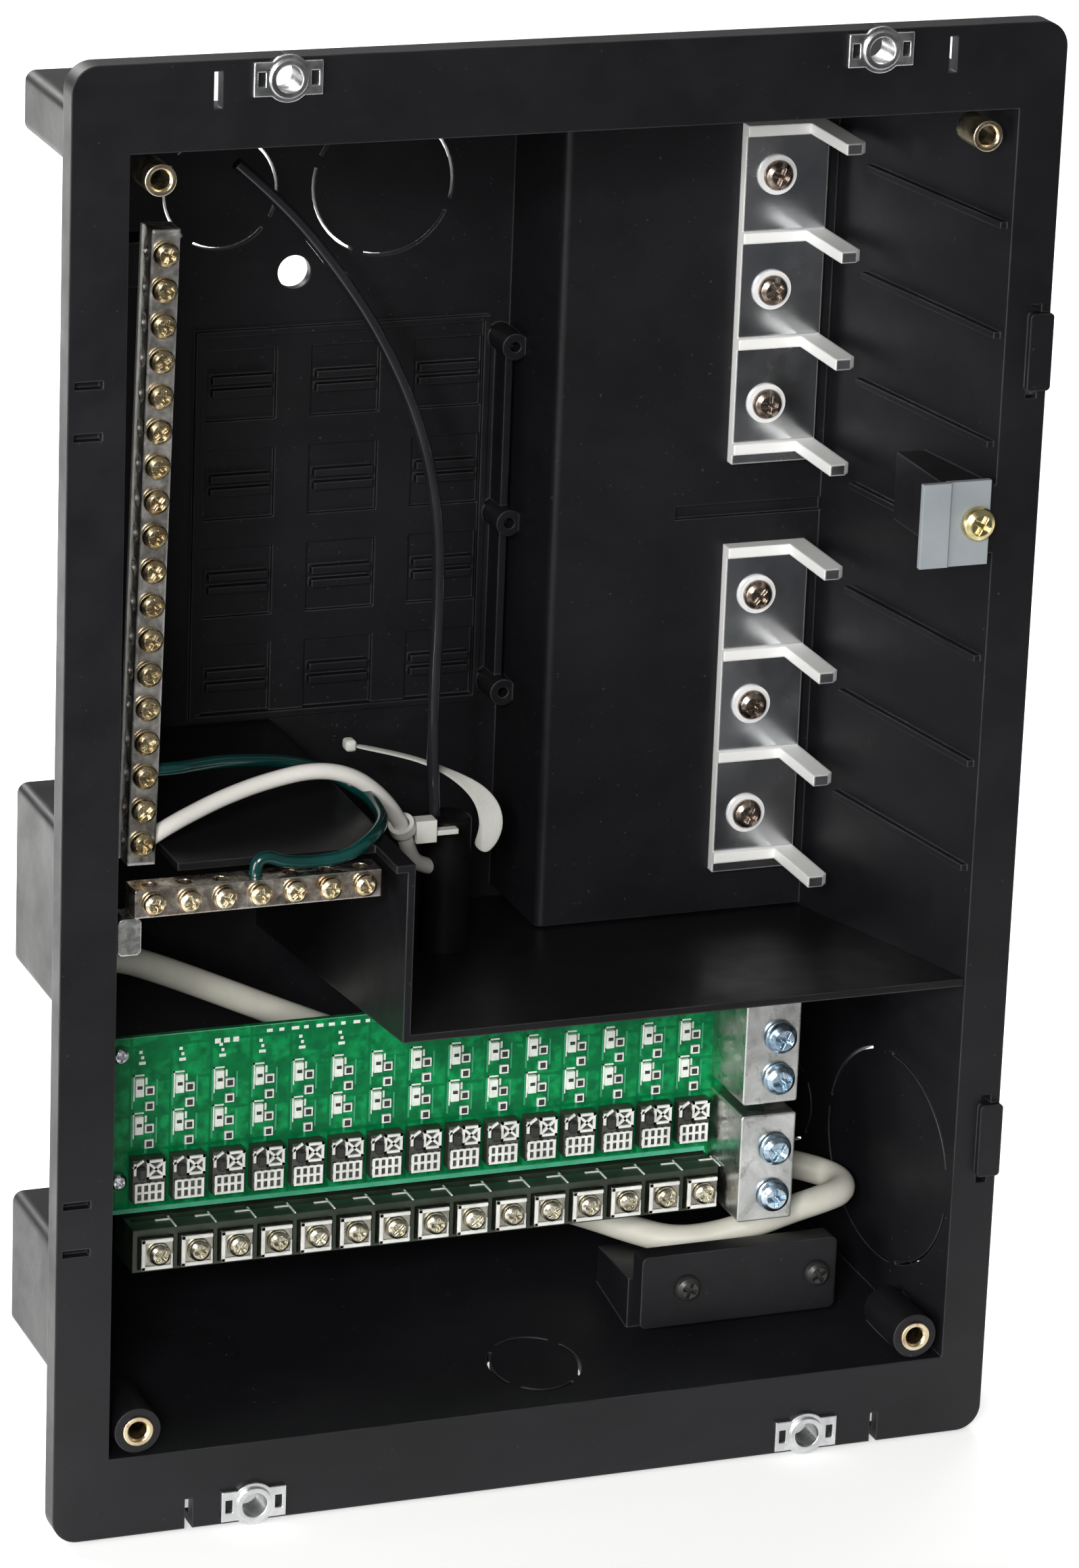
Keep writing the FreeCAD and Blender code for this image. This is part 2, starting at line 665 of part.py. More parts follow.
def enclosure_body():
    outer = tub(WALL, 0.0, DEPTH + WALL)
    pads, cores = side_pads(outer)
    lugs, catch_slots = catches()
    shell = fuse([flange(), outer] + pads + lugs)
    shell = shell.cut(tub(0.0, -5.0, DEPTH))

    # The breaker platform is a step in the back wall, open behind.
    step = box(PLAT_LEFT, OPEN_X, PLAT_Y, DEPTH + 0.5, PLAT_BOTTOM, OPEN_Z)
    front_edge = [e for e in step.Edges
                  if abs(e.CenterOfMass.x - PLAT_LEFT) < 0.01 and abs(e.CenterOfMass.y - PLAT_Y) < 0.01]
    step = step.makeFillet(PLAT_R, front_edge).common(tub(0.5, 0.0, DEPTH + 1))
    hollow = box(PLAT_LEFT + WALL, OPEN_X, PLAT_Y + WALL, DEPTH + 20, PLAT_BOTTOM + WALL, OPEN_Z)
    hollow = hollow.common(tub(0.0, 0.0, DEPTH + 15))

    bosses = []
    for x, z in boss_places():
        straight = disc_y(x, z, BOSS_FRONT, BOSS_STRAIGHT, BOSS_R)
        bosses.append(straight.fuse(slanted_rod(x, z, BOSS_FRONT, BOSS_BACK, BOSS_R)).common(outer))
    recesses, raised = vent_grid()
    added = [step] + bosses + wall_posts() + wall_ribs()
    added += [piece.common(outer) for piece in [hold_down_post(), clamp_seat()] + bar_posts() + board_posts()]
    shell = shell.multiFuse(added)
    cuts = recesses + cores + catch_slots + [hollow]
    x0, x1, z0, z1 = PLAT_SLOT
    cuts.append(box(x0, x1, PLAT_Y - 1, PLAT_Y + SLOT_DEPTH, z0, z1))
    for x, z in boss_places():
        cuts.append(disc_y(x, z, -2, BOSS_FRONT + INSERT_L + 0.1, INSERT_R + 0.05))
        cuts.append(disc_y(x, z, BOSS_FRONT + INSERT_L, BOSS_FRONT + INSERT_L + 8, INSERT_HOLE_R))
    for sx, slot_x in zip((-1, 1), KEY_SLOT_XS):
        for sz, slot_z in ((1, KEY_SLOT_TOP_Z), (-1, KEY_SLOT_LOW_Z)):
            cuts.append(disc_y(sx * NUT_X, sz * NUT_Z, -1, FLANGE_T + 4, FLANGE_HOLE_R))
            cuts.append(box(slot_x - KEY_SLOT_W / 2, slot_x + KEY_SLOT_W / 2, -1, RIM_DEPTH + 1,
                            slot_z - KEY_SLOT_H / 2, slot_z + KEY_SLOT_H / 2))
    cuts.append(back_knockout(KO_SMALL[0], KO_SMALL[1], KO_SMALL[2], (35, 125, 215, 305)))
    cuts.append(back_knockout(KO_LARGE[0], KO_LARGE[1], KO_LARGE[2], (20, 110, 200, 290)))
    cuts.append(disc_y(WIRE_HOLE[0], WIRE_HOLE[1], DEPTH - 1, DEPTH + WALL + 1, WIRE_HOLE[2]))
    for (y, z, r), tabs in zip(SIDE_KO, SIDE_KO_TABS):
        cuts.append(side_knockout(y, z, r, tabs))
    cuts.append(floor_knockout(FLOOR_KO[0], FLOOR_KO[1], FLOOR_KO[2], (45, 135, 225, 315)))
    cuts.append(disc_y(CLIP_PIVOT_X, CLIP_PIVOT_Z, -1, 14, CLIP_SCREW_R))
    for x in CLAMP_SCREW_XS:
        cuts.append(disc_y(x, CLAMP_SCREW_Z, CLAMP_BASE_Y[0] - 1, CLAMP_BASE_Y[0] + 11, 1.8))
    for x, z in bus_places():
        cuts.append(disc_y(x, z, PLAT_Y - 1, PLAT_Y + WALL + 1, BUS_SHANK_R + 0.05))
    start = CABLE_ROUTE[0]
    cuts.append(rod_x(start[1], start[2], wall_x_left(start[1]) - 6, start[0] + 4, CABLE_R + CABLE_HOLE_GAP))
    body = shell.cut(Part.makeCompound(cuts))
    body = body.fuse(Part.makeCompound(raised)).removeSplitter()
    return max(body.Solids, key=lambda s: s.Volume)


def shelf_z(y):
    return PART_SHELF_Z - PART_FALL * y


def sloping(x0, x1, top_front, top_back):
    """A wall or shelf between two depths, whose underside follows the shelf's fall."""
    y0 = PART_FRONT
    y1 = DEPTH - PART_FIT
    outline = [V(x0, y0, top_front), V(x0, y1, top_back), V(x0, y1, shelf_z(y1) - PART_T),
               V(x0, y0, shelf_z(y0) - PART_T)]
    return Part.Face(Part.makePolygon(outline + outline[:1])).extrude(V(x1 - x0, 0, 0))


def partition():
    """A step on the left, a wall down from it and a shelf across, bent from one sheet."""
    y0 = PART_FRONT
    y1 = DEPTH - PART_FIT
    step = box(-OPEN_X, PART_STEP_X, y0, y1, PART_STEP_Z - PART_T, PART_STEP_Z)
    wall = sloping(PART_STEP_X - PART_T, PART_STEP_X, PART_STEP_Z, PART_STEP_Z)
    shelf = sloping(PART_STEP_X - PART_T, OPEN_X, shelf_z(y0), shelf_z(y1))
    sheet = fuse([step, wall, shelf]).common(tub(-PART_FIT, 0.0, DEPTH))
    z0 = PART_STEP_Z - PART_T - 1
    z1 = PART_STEP_Z + 1
    cuts = [box(NOTCH_X[0], NOTCH_X[1], -1, NOTCH_Y, z0, z1),
            box(BAR_NOTCH_X[0], BAR_NOTCH_X[1], -1, BAR_NOTCH_Y, z0, z1),
            rod_z(SHEATH_X, SHEATH_Y, shelf_z(DEPTH), PART_SHELF_Z, PART_HOLE_R)]
    sheet = sheet.cut(Part.makeCompound(cuts))
    return max(sheet.Solids, key=lambda piece: piece.Volume)


# ---- fasteners in the enclosure -----------------------------------------------------------
def cover_screw_inserts():
    parts = []
    for x, z in boss_places():
        y0 = BOSS_FRONT - 0.5
        profile = [(INSERT_HOLE_R + 0.5, y0), (INSERT_R, y0), (INSERT_R, BOSS_FRONT + INSERT_L),
                   (INSERT_HOLE_R, BOSS_FRONT + INSERT_L), (INSERT_HOLE_R, y0 + 0.6)]
        parts.append(turned_y(profile, x, z))
    return solids(parts)


def clip_nuts():
    """Sheet steel nuts that slip over the flange's edge, with a round collar through its hole."""
    parts = []
    for sx in (-1, 1):
        for sz in (-1, 1):
            x = sx * NUT_X
            z = sz * NUT_Z
            half = NUT_W / 2
            face = prism_y(((x - half, z - NUT_H / 2), (x + half, z - NUT_H / 2), (x + half, z + NUT_H / 2),
                            (x - half, z + NUT_H / 2)), -NUT_T, 0)
            notches = []
            for side in (-1, 1):
                xs = sorted((x + side * (half - 2.6), x + side * (half - 0.9)))
                notches.append(box(xs[0], xs[1], -NUT_T - 1, 1, z - 1.6, z + 1.6))
            face = face.fuse(disc_y(x, z, -NUT_T, 0, NUT_RING_R))
            face = face.cut(Part.makeCompound(notches))
            collar = disc_y(x, z, -NUT_T - 0.7, RIM_DEPTH - 0.2, BARREL_R)
            back = box(x - NUT_TONGUE, x + NUT_TONGUE, FLANGE_T + 0.3, FLANGE_T + 0.3 + NUT_T,
                       min(z - sz * NUT_TONGUE, z + sz * 2), max(z - sz * NUT_TONGUE, z + sz * 2))
            nut = fuse([face, collar, back])
            parts.append(nut.cut(disc_y(x, z, -4, RIM_DEPTH + 3, NUT_HOLE_R)))
    return solids(parts)


# ---- bus bars -----------------------------------------------------------------------------
def bus_bar(top):
    """An extruded bar: a flat plate with a tall blade at each breaker position."""
    y1 = PLAT_Y
    y0 = PLAT_Y - BUS_T
    length = PITCH * (BUS_FINS - 1)
    parts = [box(BUS_LEFT, BUS_RIGHT, y0, y1, top - length - FIN_T / 2 - BUS_TAIL, top + FIN_T / 2)]
    for i in range(BUS_FINS):
        z = top - PITCH * i
        outline = [V(BUS_LEFT, y0 + 0.2, z), V(BUS_LEFT, y0 - FIN_RIDGE, z), V(FIN_LEFT, y0 - FIN_RIDGE, z),
                   V(FIN_LEFT, FIN_TIP_Y, z), V(BUS_RIGHT - FIN_CHAMFER, FIN_TIP_Y, z),
                   V(BUS_RIGHT, FIN_TIP_Y + FIN_CHAMFER, z), V(BUS_RIGHT, y0 + 0.2, z)]
        fin = Part.Face(Part.makePolygon(outline + outline[:1])).extrude(V(0, 0, FIN_T))
        fin.translate(V(0, 0, -FIN_T / 2))
        parts.append(fin)
    holes = [disc_y(x, z, y0 - 1, y1 + 1, BUS_SHANK_R + 0.1) for x, z in bus_places()]
    return fuse(parts).cut(Part.makeCompound(holes))


def bus_bar_screws():
    seat = PLAT_Y - BUS_T - WASHER_T
    return solids([screw(x, z, seat, BUS_SCREW_R, BUS_SCREW_H, BUS_SHANK_R, BUS_SHANK_L, 20 + 37 * i)
                   for i, (x, z) in enumerate(bus_places())])


def bus_bar_washers():
    seat = PLAT_Y - BUS_T
    return solids([disc_y(x, z, seat - WASHER_T, seat, WASHER_R).cut(
        disc_y(x, z, seat - 2, seat + 1, BUS_SHANK_R + 0.1)) for x, z in bus_places()])


# ---- neutral and ground bars --------------------------------------------------------------
def neutral_zs():
    return [NB_TOP_SCREW - NB_PITCH * i for i in range(NB_SCREWS)]


def leaning(shape):
    shape.rotate(V(sum(NB_X) / 2, 0, NB_TOP_SCREW), Y_AXIS, NB_LEAN)
    return shape


def neutral_bar():
    bar = box(NB_X[0], NB_X[1], NB_Y[0], NB_Y[1], NB_Z[0], NB_Z[1])
    x = (NB_X[0] + NB_X[1]) / 2
    y = (NB_Y[0] + NB_Y[1]) / 2
    cuts = []
    for z in neutral_zs():
        cuts.append(disc_y(x, z, NB_Y[0] - 1, y + 1, NB_SHANK_R + 0.1))
        cuts.append(rod_x(y, z, NB_X[0] - 1, NB_X[1] + 1, NB_WIRE_R))
    for z in NB_POST_ZS:
        cuts.append(disc_y(x, z, NB_Y[1] - PEG_L - 0.2, NB_Y[1] + 1, PEG_R + 0.05))
    return leaning(bar.cut(Part.makeCompound(cuts)))


def neutral_bar_screws():
    x = (NB_X[0] + NB_X[1]) / 2
    return leaning(solids([screw(x, z, NB_Y[0] - 0.4, NB_SCREW_R, NB_SCREW_H, NB_SHANK_R, NB_SHANK_L,
                                 25 + 41 * i) for i, z in enumerate(neutral_zs())]))


def ground_xs():
    return [GB_FIRST + GB_PITCH * i for i in range(GB_SCREWS)]


def ground_bar():
    bar = box(GB_X[0], GB_X[1], GB_Y[0], GB_Y[1], GB_Z[0], GB_Z[1])
    y = (GB_Y[0] + GB_Y[1]) / 2
    z = (GB_Z[0] + GB_Z[1]) / 2
    cuts = []
    for x in ground_xs():
        cuts.append(disc_y(x, z, GB_Y[0] - 1, y + 1, NB_SHANK_R + 0.1))
        cuts.append(rod_z(x, y, GB_Z[0] - 1, GB_Z[1] + 1, NB_WIRE_R))
    return bar.cut(Part.makeCompound(cuts))


def ground_bar_screws():
    z = (GB_Z[0] + GB_Z[1]) / 2
    return solids([screw(x, z, GB_Y[0] - 0.4, GB_SCREW_R, NB_SCREW_H, NB_SHANK_R, 3.6, 15 + 53 * i)
                   for i, x in enumerate(ground_xs())])


def ground_bar_bracket():
    """The foot that holds the ground bar to the left wall."""
    x0, x1 = BRACKET_X
    z0, z1 = BRACKET_Z
    plate = rounded_plate(x0, x1, z0, z1, GB_Y[0], GB_Y[0] + BRACKET_T, 1.2)
    flap = box(wall_x_left(GB_Y[1]) + 0.1, x1 - 0.5, GB_Y[0] + BRACKET_T - 0.2, GB_Y[1], z1 - BRACKET_T, z1)
    return plate.fuse(flap).removeSplitter()


# ---- hold-down ----------------------------------------------------------------------------
def hold_down_clip():
    z0 = CLIP_PIVOT_Z - CLIP_HALF_H
    z1 = CLIP_PIVOT_Z + CLIP_HALF_H
    back = -CLIP_GAP
    wide = box(CLIP_STEP_X, CLIP_RIGHT, back - CLIP_T, back, z0, z1)
    wing = box(CLIP_LEFT, CLIP_STEP_X + 0.6, back - CLIP_T - CLIP_STEP, back - CLIP_STEP, z0, z1)
    plate = wide.fuse(wing)
    return plate.cut(disc_y(CLIP_PIVOT_X, CLIP_PIVOT_Z, -6, 2, CLIP_SCREW_R + 0.06)).removeSplitter()


def hold_down_screw():
    seat = -CLIP_GAP - CLIP_T - CLIP_GAP
    return screw(CLIP_PIVOT_X, CLIP_PIVOT_Z, seat, 4.0, 2.4, CLIP_SCREW_R, 14.0, 30)


# ---- fuse board ---------------------------------------------------------------------------
def way_xs():
    return [WAY_X0 + WAY_PITCH * i for i in range(WAYS)]


def fuse_board():
    lug_edge = TB_X[1]
    tab_z = BOARD_STEP_Z + BOARD_TAB_UP
    outline = ((BOARD_X[0], BOARD_LOW), (lug_edge, BOARD_LOW), (lug_edge, LUG_SPANS[1][0]),
               (BOARD_X[1], LUG_SPANS[1][0]), (BOARD_X[1], tab_z), (BOARD_TAB_X, tab_z),
               (BOARD_TAB_X - BOARD_TAB_UP, BOARD_STEP_Z), (BOARD_STEP_X + 7.0, BOARD_STEP_Z),
               (BOARD_STEP_X, BOARD_TOP), (BOARD_X[0], BOARD_TOP))
    board = prism_y(outline, BOARD_Y, BOARD_Y + BOARD_T)
    holes = [disc_y(x, z, BOARD_Y - 1, BOARD_Y + 3, BOARD_SCREW_R + 0.1) for x, z in STANDOFFS]
    for z0, z1 in LUG_SPANS:
        holes.append(disc_y(sum(LUG_X) / 2, (z0 + z1) / 2, BOARD_Y - 1, BOARD_Y + 3, LUG_BOLT_R + 0.1))
    return board.cut(Part.makeCompound(holes))


def board_screws():
    return solids([screw(x, z, BOARD_Y, BOARD_SCREW_HEAD, 1.6, BOARD_SCREW_R, 9.0, 10 + 30 * i)
                   for i, (x, z) in enumerate(STANDOFFS)])


def fuse_holders():
    parts = []
    for x in way_xs():
        x0 = x - HOLDER_W / 2
        holder = box(x0, x0 + HOLDER_W, BOARD_Y - HOLDER_D, BOARD_Y, HOLDER_LOW, HOLDER_LOW + HOLDER_H)
        groove = box(x - 0.5, x + 0.5, BOARD_Y - HOLDER_D - 1, BOARD_Y - HOLDER_D + 1.2, HOLDER_LOW - 1,
                     HOLDER_LOW + HOLDER_H + 1)
        parts.append(holder.cut(groove))
    return solids(parts)


def fuse_clips():
    """Tin plated spring clips, four to a holder, each with the slit that takes a fuse blade."""
    parts = []
    y1 = BOARD_Y - HOLDER_D
    for x in way_xs():
        for side in (-1, 1):
            for row in (0, 1):
                cx = x + side * (BLADE_W / 2 + 1.0)
                cz = HOLDER_LOW + 3.0 + row * 4.8
                clip = box(cx - BLADE_W / 2, cx + BLADE_W / 2, y1 - BLADE_PROUD, y1, cz - BLADE_H / 2,
                           cz + BLADE_H / 2)
                slit = box(cx - BLADE_SLIT / 2, cx + BLADE_SLIT / 2, y1 - BLADE_PROUD - 1, y1 - 0.4,
                           cz - BLADE_H / 2 - 1, cz + BLADE_H / 2 - 0.9)
                parts.append(clip.cut(slit))
    return solids(parts)


def indicator_lamps():
    parts = []
    for x in way_xs():
        for z in GROUP_ZS:
            low = z + LAMP_UP - LAMP_H / 2
            parts.append(box(x + LAMP_LEFT, x + LAMP_LEFT + LAMP_W, BOARD_Y - LAMP_D, BOARD_Y, low,
                             low + LAMP_H))
    return solids(parts)


def test_pads():
    """Square tin eyelets, two to each lamp."""
    parts = []
    for x in way_xs():
        for z in GROUP_ZS:
            for rise in PAD_RISES:
                cx = x + PAD_X
                cz = z + rise
                pad = box(cx - PAD_SQ / 2, cx + PAD_SQ / 2, BOARD_Y - PAD_D, BOARD_Y, cz - PAD_SQ / 2,
                          cz + PAD_SQ / 2)
                parts.append(pad.cut(disc_y(cx, cz, BOARD_Y - 2, BOARD_Y + 1, PAD_SQ * 0.3)))
    return solids(parts)


def terminal_block():
    block = box(TB_X[0], TB_X[1], TB_Y[0], TB_Y[1], TB_Z[0], TB_Z[1])
    cuts = []
    for x in way_xs():
        half = (WAY_PITCH - TB_RIB) / 2
        cuts.append(box(x - half, x + half, TB_Y[0] - 1, TB_Y[0] + 3.0, TERM_Z - TERM_SQ / 2 - 0.3,
                        TERM_Z + TERM_SQ / 2 + 0.3))
        cuts.append(box(x - half, x + half, TB_Y[0] + 5.0, BOARD_Y - 1.5, TB_Z[1] - 2.0, TB_Z[1] + 1))
        cuts.append(disc_y(x + 0.4, TERM_Z, TB_Y[0] + 2, TB_Y[0] + 8, 1.7))
    return block.cut(Part.makeCompound(cuts))


def terminal_plates():
    parts = []
    for x in way_xs():
        half = TERM_SQ / 2
        y0 = TB_Y[0] - 1.2
        plate = box(x - half, x + half, y0, y0 + TERM_T, TERM_Z - half, TERM_Z + half)
        skirt = box(x - half, x + half, y0, TB_Y[0] + 2.6, TERM_Z - half, TERM_Z - half + 1.0)
        part = plate.fuse(skirt).cut(disc_y(x + 0.4, TERM_Z, y0 - 1, y0 + 6, 1.6))
        parts.append(part.removeSplitter())
    return solids(parts)


def terminal_screws():
    return solids([screw(x + 0.4, TERM_Z, TB_Y[0] - 1.5, TERM_SCREW_R, 1.6, 1.4, 7.0, 35 + 47 * i)
                   for i, x in enumerate(way_xs())])


# ---- lugs ---------------------------------------------------------------------------------
def lug(span, screw_zs):
    """A solid aluminium lug: wires go in from the right and two screws clamp them from the front."""
    block = rounded_plate(LUG_X[0], LUG_X[1], span[0], span[1], LUG_FRONT, BOARD_Y, 0.6)
    cuts = [disc_y(sum(LUG_X) / 2, sum(span) / 2, BOARD_Y - LUG_BOLT_IN - 0.2, BOARD_Y + 1, LUG_BOLT_R * 0.85)]
    for z in screw_zs:
        cuts.append(disc_y(LUG_SCREW_X, z, LUG_FRONT - 1, LUG_WIRE_Y, LUG_SHANK_R + LUG_FIT))
        cuts.append(rod_x(LUG_WIRE_Y, z, LUG_X[0] + 2.5, LUG_X[1] + 1, LUG_WIRE_R))
    return block.cut(Part.makeCompound(cuts))


def lug_screw(z, turn):
    seat = LUG_FRONT - CLIP_GAP
    return screw(LUG_SCREW_X, z, seat, LUG_SCREW_R, LUG_SCREW_HEAD, LUG_SHANK_R, LUG_SHANK_L, turn)


def lug_bolts():
    """Short bolts that hold the lugs to the board from behind."""
    parts = []
    for z0, z1 in LUG_SPANS:
        x = sum(LUG_X) / 2
        z = (z0 + z1) / 2
        head = disc_y(x, z, BOARD_Y + BOARD_T, BOARD_Y + BOARD_T + 2.2, 4.2)
        shank = disc_y(x, z, BOARD_Y - LUG_BOLT_IN, BOARD_Y + BOARD_T + 0.1, LUG_BOLT_R * 0.8)
        parts.append(head.fuse(shank).removeSplitter())
    return solids(parts)


# ---- cable clamp, cables and ties ---------------------------------------------------------
def cable_clamp_bar():
    bar = rounded_plate(CLAMP_X[0] + 1, CLAMP_X[1] - 1, CLAMP_Z[0], CLAMP_Z[1] - 0.5, CLAMP_BAR_Y[0],
                        CLAMP_BAR_Y[1], 1.5)
    holes = [disc_y(x, CLAMP_SCREW_Z, CLAMP_BAR_Y[0] - 1, CLAMP_BAR_Y[1] + 1, 1.9) for x in CLAMP_SCREW_XS]
    return bar.cut(Part.makeCompound(holes))


def cable_clamp_screws():
    return solids([screw(x, CLAMP_SCREW_Z, CLAMP_BAR_Y[0], CLAMP_SCREW_R, 2.0, 1.7, 14.0, 20 + 40 * i)
                   for i, x in enumerate(CLAMP_SCREW_XS)])


def cable_sheath():
    """The black jacket's end, which comes up through the shelf and lets its three wires out."""
    jacket = rod_z(SHEATH_X, SHEATH_Y, SHEATH_Z[0], SHEATH_Z[1], SHEATH_R)
    rims = [e for e in jacket.Edges if abs(e.CenterOfMass.z - SHEATH_Z[1]) < 0.01 and e.Length > 10]
    jacket = jacket.makeFillet(1.2, rims[:1])
    return jacket


def cable_tie_small():
    """A small tie round the white wire, with its head and its short tail to the right."""
    at = V(*TIE_AT)
    along = V(*TIE_ALONG).normalize()
    start = at - along * (TIE_W / 2)
    loop = Part.makeCylinder(TIE_R, TIE_W, start, along)
    head = box(TIE_HEAD_X[0], TIE_HEAD_X[1], at.y - 0.6, at.y + 3.4, at.z - 4.4, at.z + 1.0)
    tail = box(TIE_HEAD_X[1] - 0.5, TIE_TAIL_X, at.y + 0.4, at.y + 2.8, at.z - 3.2, at.z - 2.0)
    bore = Part.makeCylinder(WHITE_R + 0.15, TIE_W + 20, at - along * 10, along)
    return fuse([loop, head, tail]).cut(bore)


def strap_outline(line, thick):
    """The two sides of a strap seen on edge, drawn about its middle line."""
    left = []
    right = []
    for i, (x, z) in enumerate(line):
        x0, z0 = line[max(i - 1, 0)]
        x1, z1 = line[min(i + 1, len(line) - 1)]
        long = math.hypot(x1 - x0, z1 - z0)
        nx = -(z1 - z0) / long * thick / 2
        nz = (x1 - x0) / long * thick / 2
        left.append((x + nx, z + nz))
        right.append((x - nx, z - nz))
    return left + right[::-1]


def cable_tie_wide():
    """A loose strap that runs behind the black wire and turns down to the jacket."""
    strap = prism_y(strap_outline(STRAP_LINE, STRAP_T), STRAP_Y[0], STRAP_Y[1])
    x, z = STRAP_LINE[0]
    head = box(x - STRAP_HEAD, x + 0.2, STRAP_Y[0], STRAP_Y[1], z - STRAP_HEAD / 2, z + STRAP_HEAD / 2)
    return fuse([strap, head])


NODES = {
    "enclosure_body": enclosure_body,
    "partition": partition,
    "cover_screw_inserts": cover_screw_inserts,
    "clip_nuts": clip_nuts,
    "bus_bar_upper": lambda: bus_bar(BUS_TOPS[0]),
    "bus_bar_lower": lambda: bus_bar(BUS_TOPS[1]),
    "bus_bar_screws": bus_bar_screws,
    "bus_bar_washers": bus_bar_washers,
    "neutral_bar": neutral_bar,
    "neutral_bar_screws": neutral_bar_screws,
    "ground_bar": ground_bar,
    "ground_bar_screws": ground_bar_screws,
    "ground_bar_bracket": ground_bar_bracket,
    "hold_down_clip": hold_down_clip,
    "hold_down_screw": hold_down_screw,
    "fuse_board": fuse_board,
    "board_screws": board_screws,
    "fuse_holders": fuse_holders,
    "fuse_clips": fuse_clips,
    "indicator_lamps": indicator_lamps,
    "test_pads": test_pads,
    "terminal_block": terminal_block,
    "terminal_plates": terminal_plates,
    "terminal_screws": terminal_screws,
    "lug_upper": lambda: lug(LUG_SPANS[0], LUG_SCREW_ZS[:2]),
    "lug_lower": lambda: lug(LUG_SPANS[1], LUG_SCREW_ZS[2:]),
    "lug_bolts": lug_bolts,
    "cable_clamp_bar": cable_clamp_bar,
    "cable_clamp_screws": cable_clamp_screws,
    "cable_sheath": cable_sheath,
    "cable_tie_small": cable_tie_small,
    "cable_tie_wide": cable_tie_wide,
    "feed_cable": lambda: tube(CABLE_ROUTE, CABLE_R, "feed_cable"),
    "black_wire": lambda: tube(BLACK_ROUTE, BLACK_R, "black_wire"),
    "white_wire": lambda: tube(WHITE_ROUTE, WHITE_R, "white_wire"),
    "green_wire": lambda: tube(GREEN_ROUTE, GREEN_R, "green_wire"),
}
for i, z in enumerate(LUG_SCREW_ZS):
    NODES["lug_screw_%d" % (i + 1)] = lambda z=z, i=i: lug_screw(z, 25 + 50 * i)

os.makedirs("parts", exist_ok=True)
for name, make in NODES.items():
    shape = make()
    shape.exportStep("parts/%s.step" % name)
    print("%-22s solids %2d  valid %s  volume %.0f" % (name, len(shape.Solids), shape.isValid(), shape.Volume))
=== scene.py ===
import math
import random

import bmesh
import bpy
from mathutils import Matrix, Vector


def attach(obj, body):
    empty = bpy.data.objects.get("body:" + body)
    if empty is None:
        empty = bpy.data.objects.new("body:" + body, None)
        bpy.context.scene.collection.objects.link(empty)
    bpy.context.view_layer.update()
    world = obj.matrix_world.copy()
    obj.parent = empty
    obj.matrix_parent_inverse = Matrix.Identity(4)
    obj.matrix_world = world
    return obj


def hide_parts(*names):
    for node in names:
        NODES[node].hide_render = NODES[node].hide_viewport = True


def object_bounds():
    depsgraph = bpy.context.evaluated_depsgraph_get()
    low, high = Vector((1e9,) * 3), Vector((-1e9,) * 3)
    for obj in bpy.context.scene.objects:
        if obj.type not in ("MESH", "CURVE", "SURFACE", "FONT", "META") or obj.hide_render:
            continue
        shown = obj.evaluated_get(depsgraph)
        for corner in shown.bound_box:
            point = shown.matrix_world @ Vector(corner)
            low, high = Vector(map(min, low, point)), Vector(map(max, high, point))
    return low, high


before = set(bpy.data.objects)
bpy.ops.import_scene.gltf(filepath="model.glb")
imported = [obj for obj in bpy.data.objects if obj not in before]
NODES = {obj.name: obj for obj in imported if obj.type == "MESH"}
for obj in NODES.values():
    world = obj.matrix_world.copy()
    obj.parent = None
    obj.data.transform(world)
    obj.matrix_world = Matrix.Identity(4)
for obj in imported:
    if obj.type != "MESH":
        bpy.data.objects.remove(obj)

CAD_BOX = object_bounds()
MM = 0.001
ROOT = "enclosure"

# ---- the camera -------------------------------------------------------------------------------
CAMERA_AT = (-0.50335, -1.28053, 0.47993)
CAMERA_RIGHT = (0.935810, -0.350584, 0.036734)
CAMERA_UP = (0.082814, 0.319948, 0.943809)
CAMERA_FORWARD = (0.342638, 0.880184, -0.328444)
CAMERA_LENS = 149.69
CAMERA_SENSOR = 36.0
CAMERA_NEAR = 0.05

# ---- places on the object, in millimetres, as in the CAD model --------------------------------
BOARD_FRONT = 40.0
WAYS = 15
WAY_X0 = -82.7
WAY_PITCH = 9.61
BOARD_LEFT = -91.8
BOARD_TOP = -65.6
HOLDER_TOP = -94.6
GROUP_ZS = (-78.9, -88.2)
BOARD_LOW = -108.8
STEP_X = -25.4
DASH_TOP = -68.6
LAMP_FACE = 38.9
PAD_FACE = 39.4
PAD_X = 0.7
PAD_RISES = (0.1, -3.7)
HOLDER_D = 3.2
HOLDER_LOW = -105.2
TERM_Z = -115.2
TERM_HALF = 3.75
TERM_FRONT = 29.8
TB_FRONT = 31.0
TB_TOP = -109.4

# Marks on the board: left, right, low and high, counted from the middle of a way or of its group.
INK = 0.06
DOT_HALF = 0.68
DOT_PROUD = 0.03
DOT_DEEP = 0.2
OUTLINE_AT = (-1.9, 0.9)
OUTLINE_HALF = (1.35, 3.2)
OUTLINE_LINE = 0.42
INNER_MARK = (-0.3, 0.2, 1.5, 3.2)
LAMP_MARK = (-2.5, -1.3, 0.9, 1.7)
LAMP_MARK_T = 0.08
TRACKS = ((-3.6, -3.15, -4.2, 3.6), (2.3, 2.7, -3.8, 2.6))
TRACK_LOW = (-0.3, 0.3, -6.2, -4.6)
DASHES = 3
DASH_XS = (-1.9, -1.1)
DASH_SHIFTS = (0.5, 0.4)
DASH_ZS = (-1.1, -0.35)
DASH_PITCH = 1.35
DASH_CLEAR = 4
ROW_X0 = -54.0
ROW_PITCH = 3.0
ROW_MARKS = 9
ROW_WIDTHS = (1.0, 2.3)
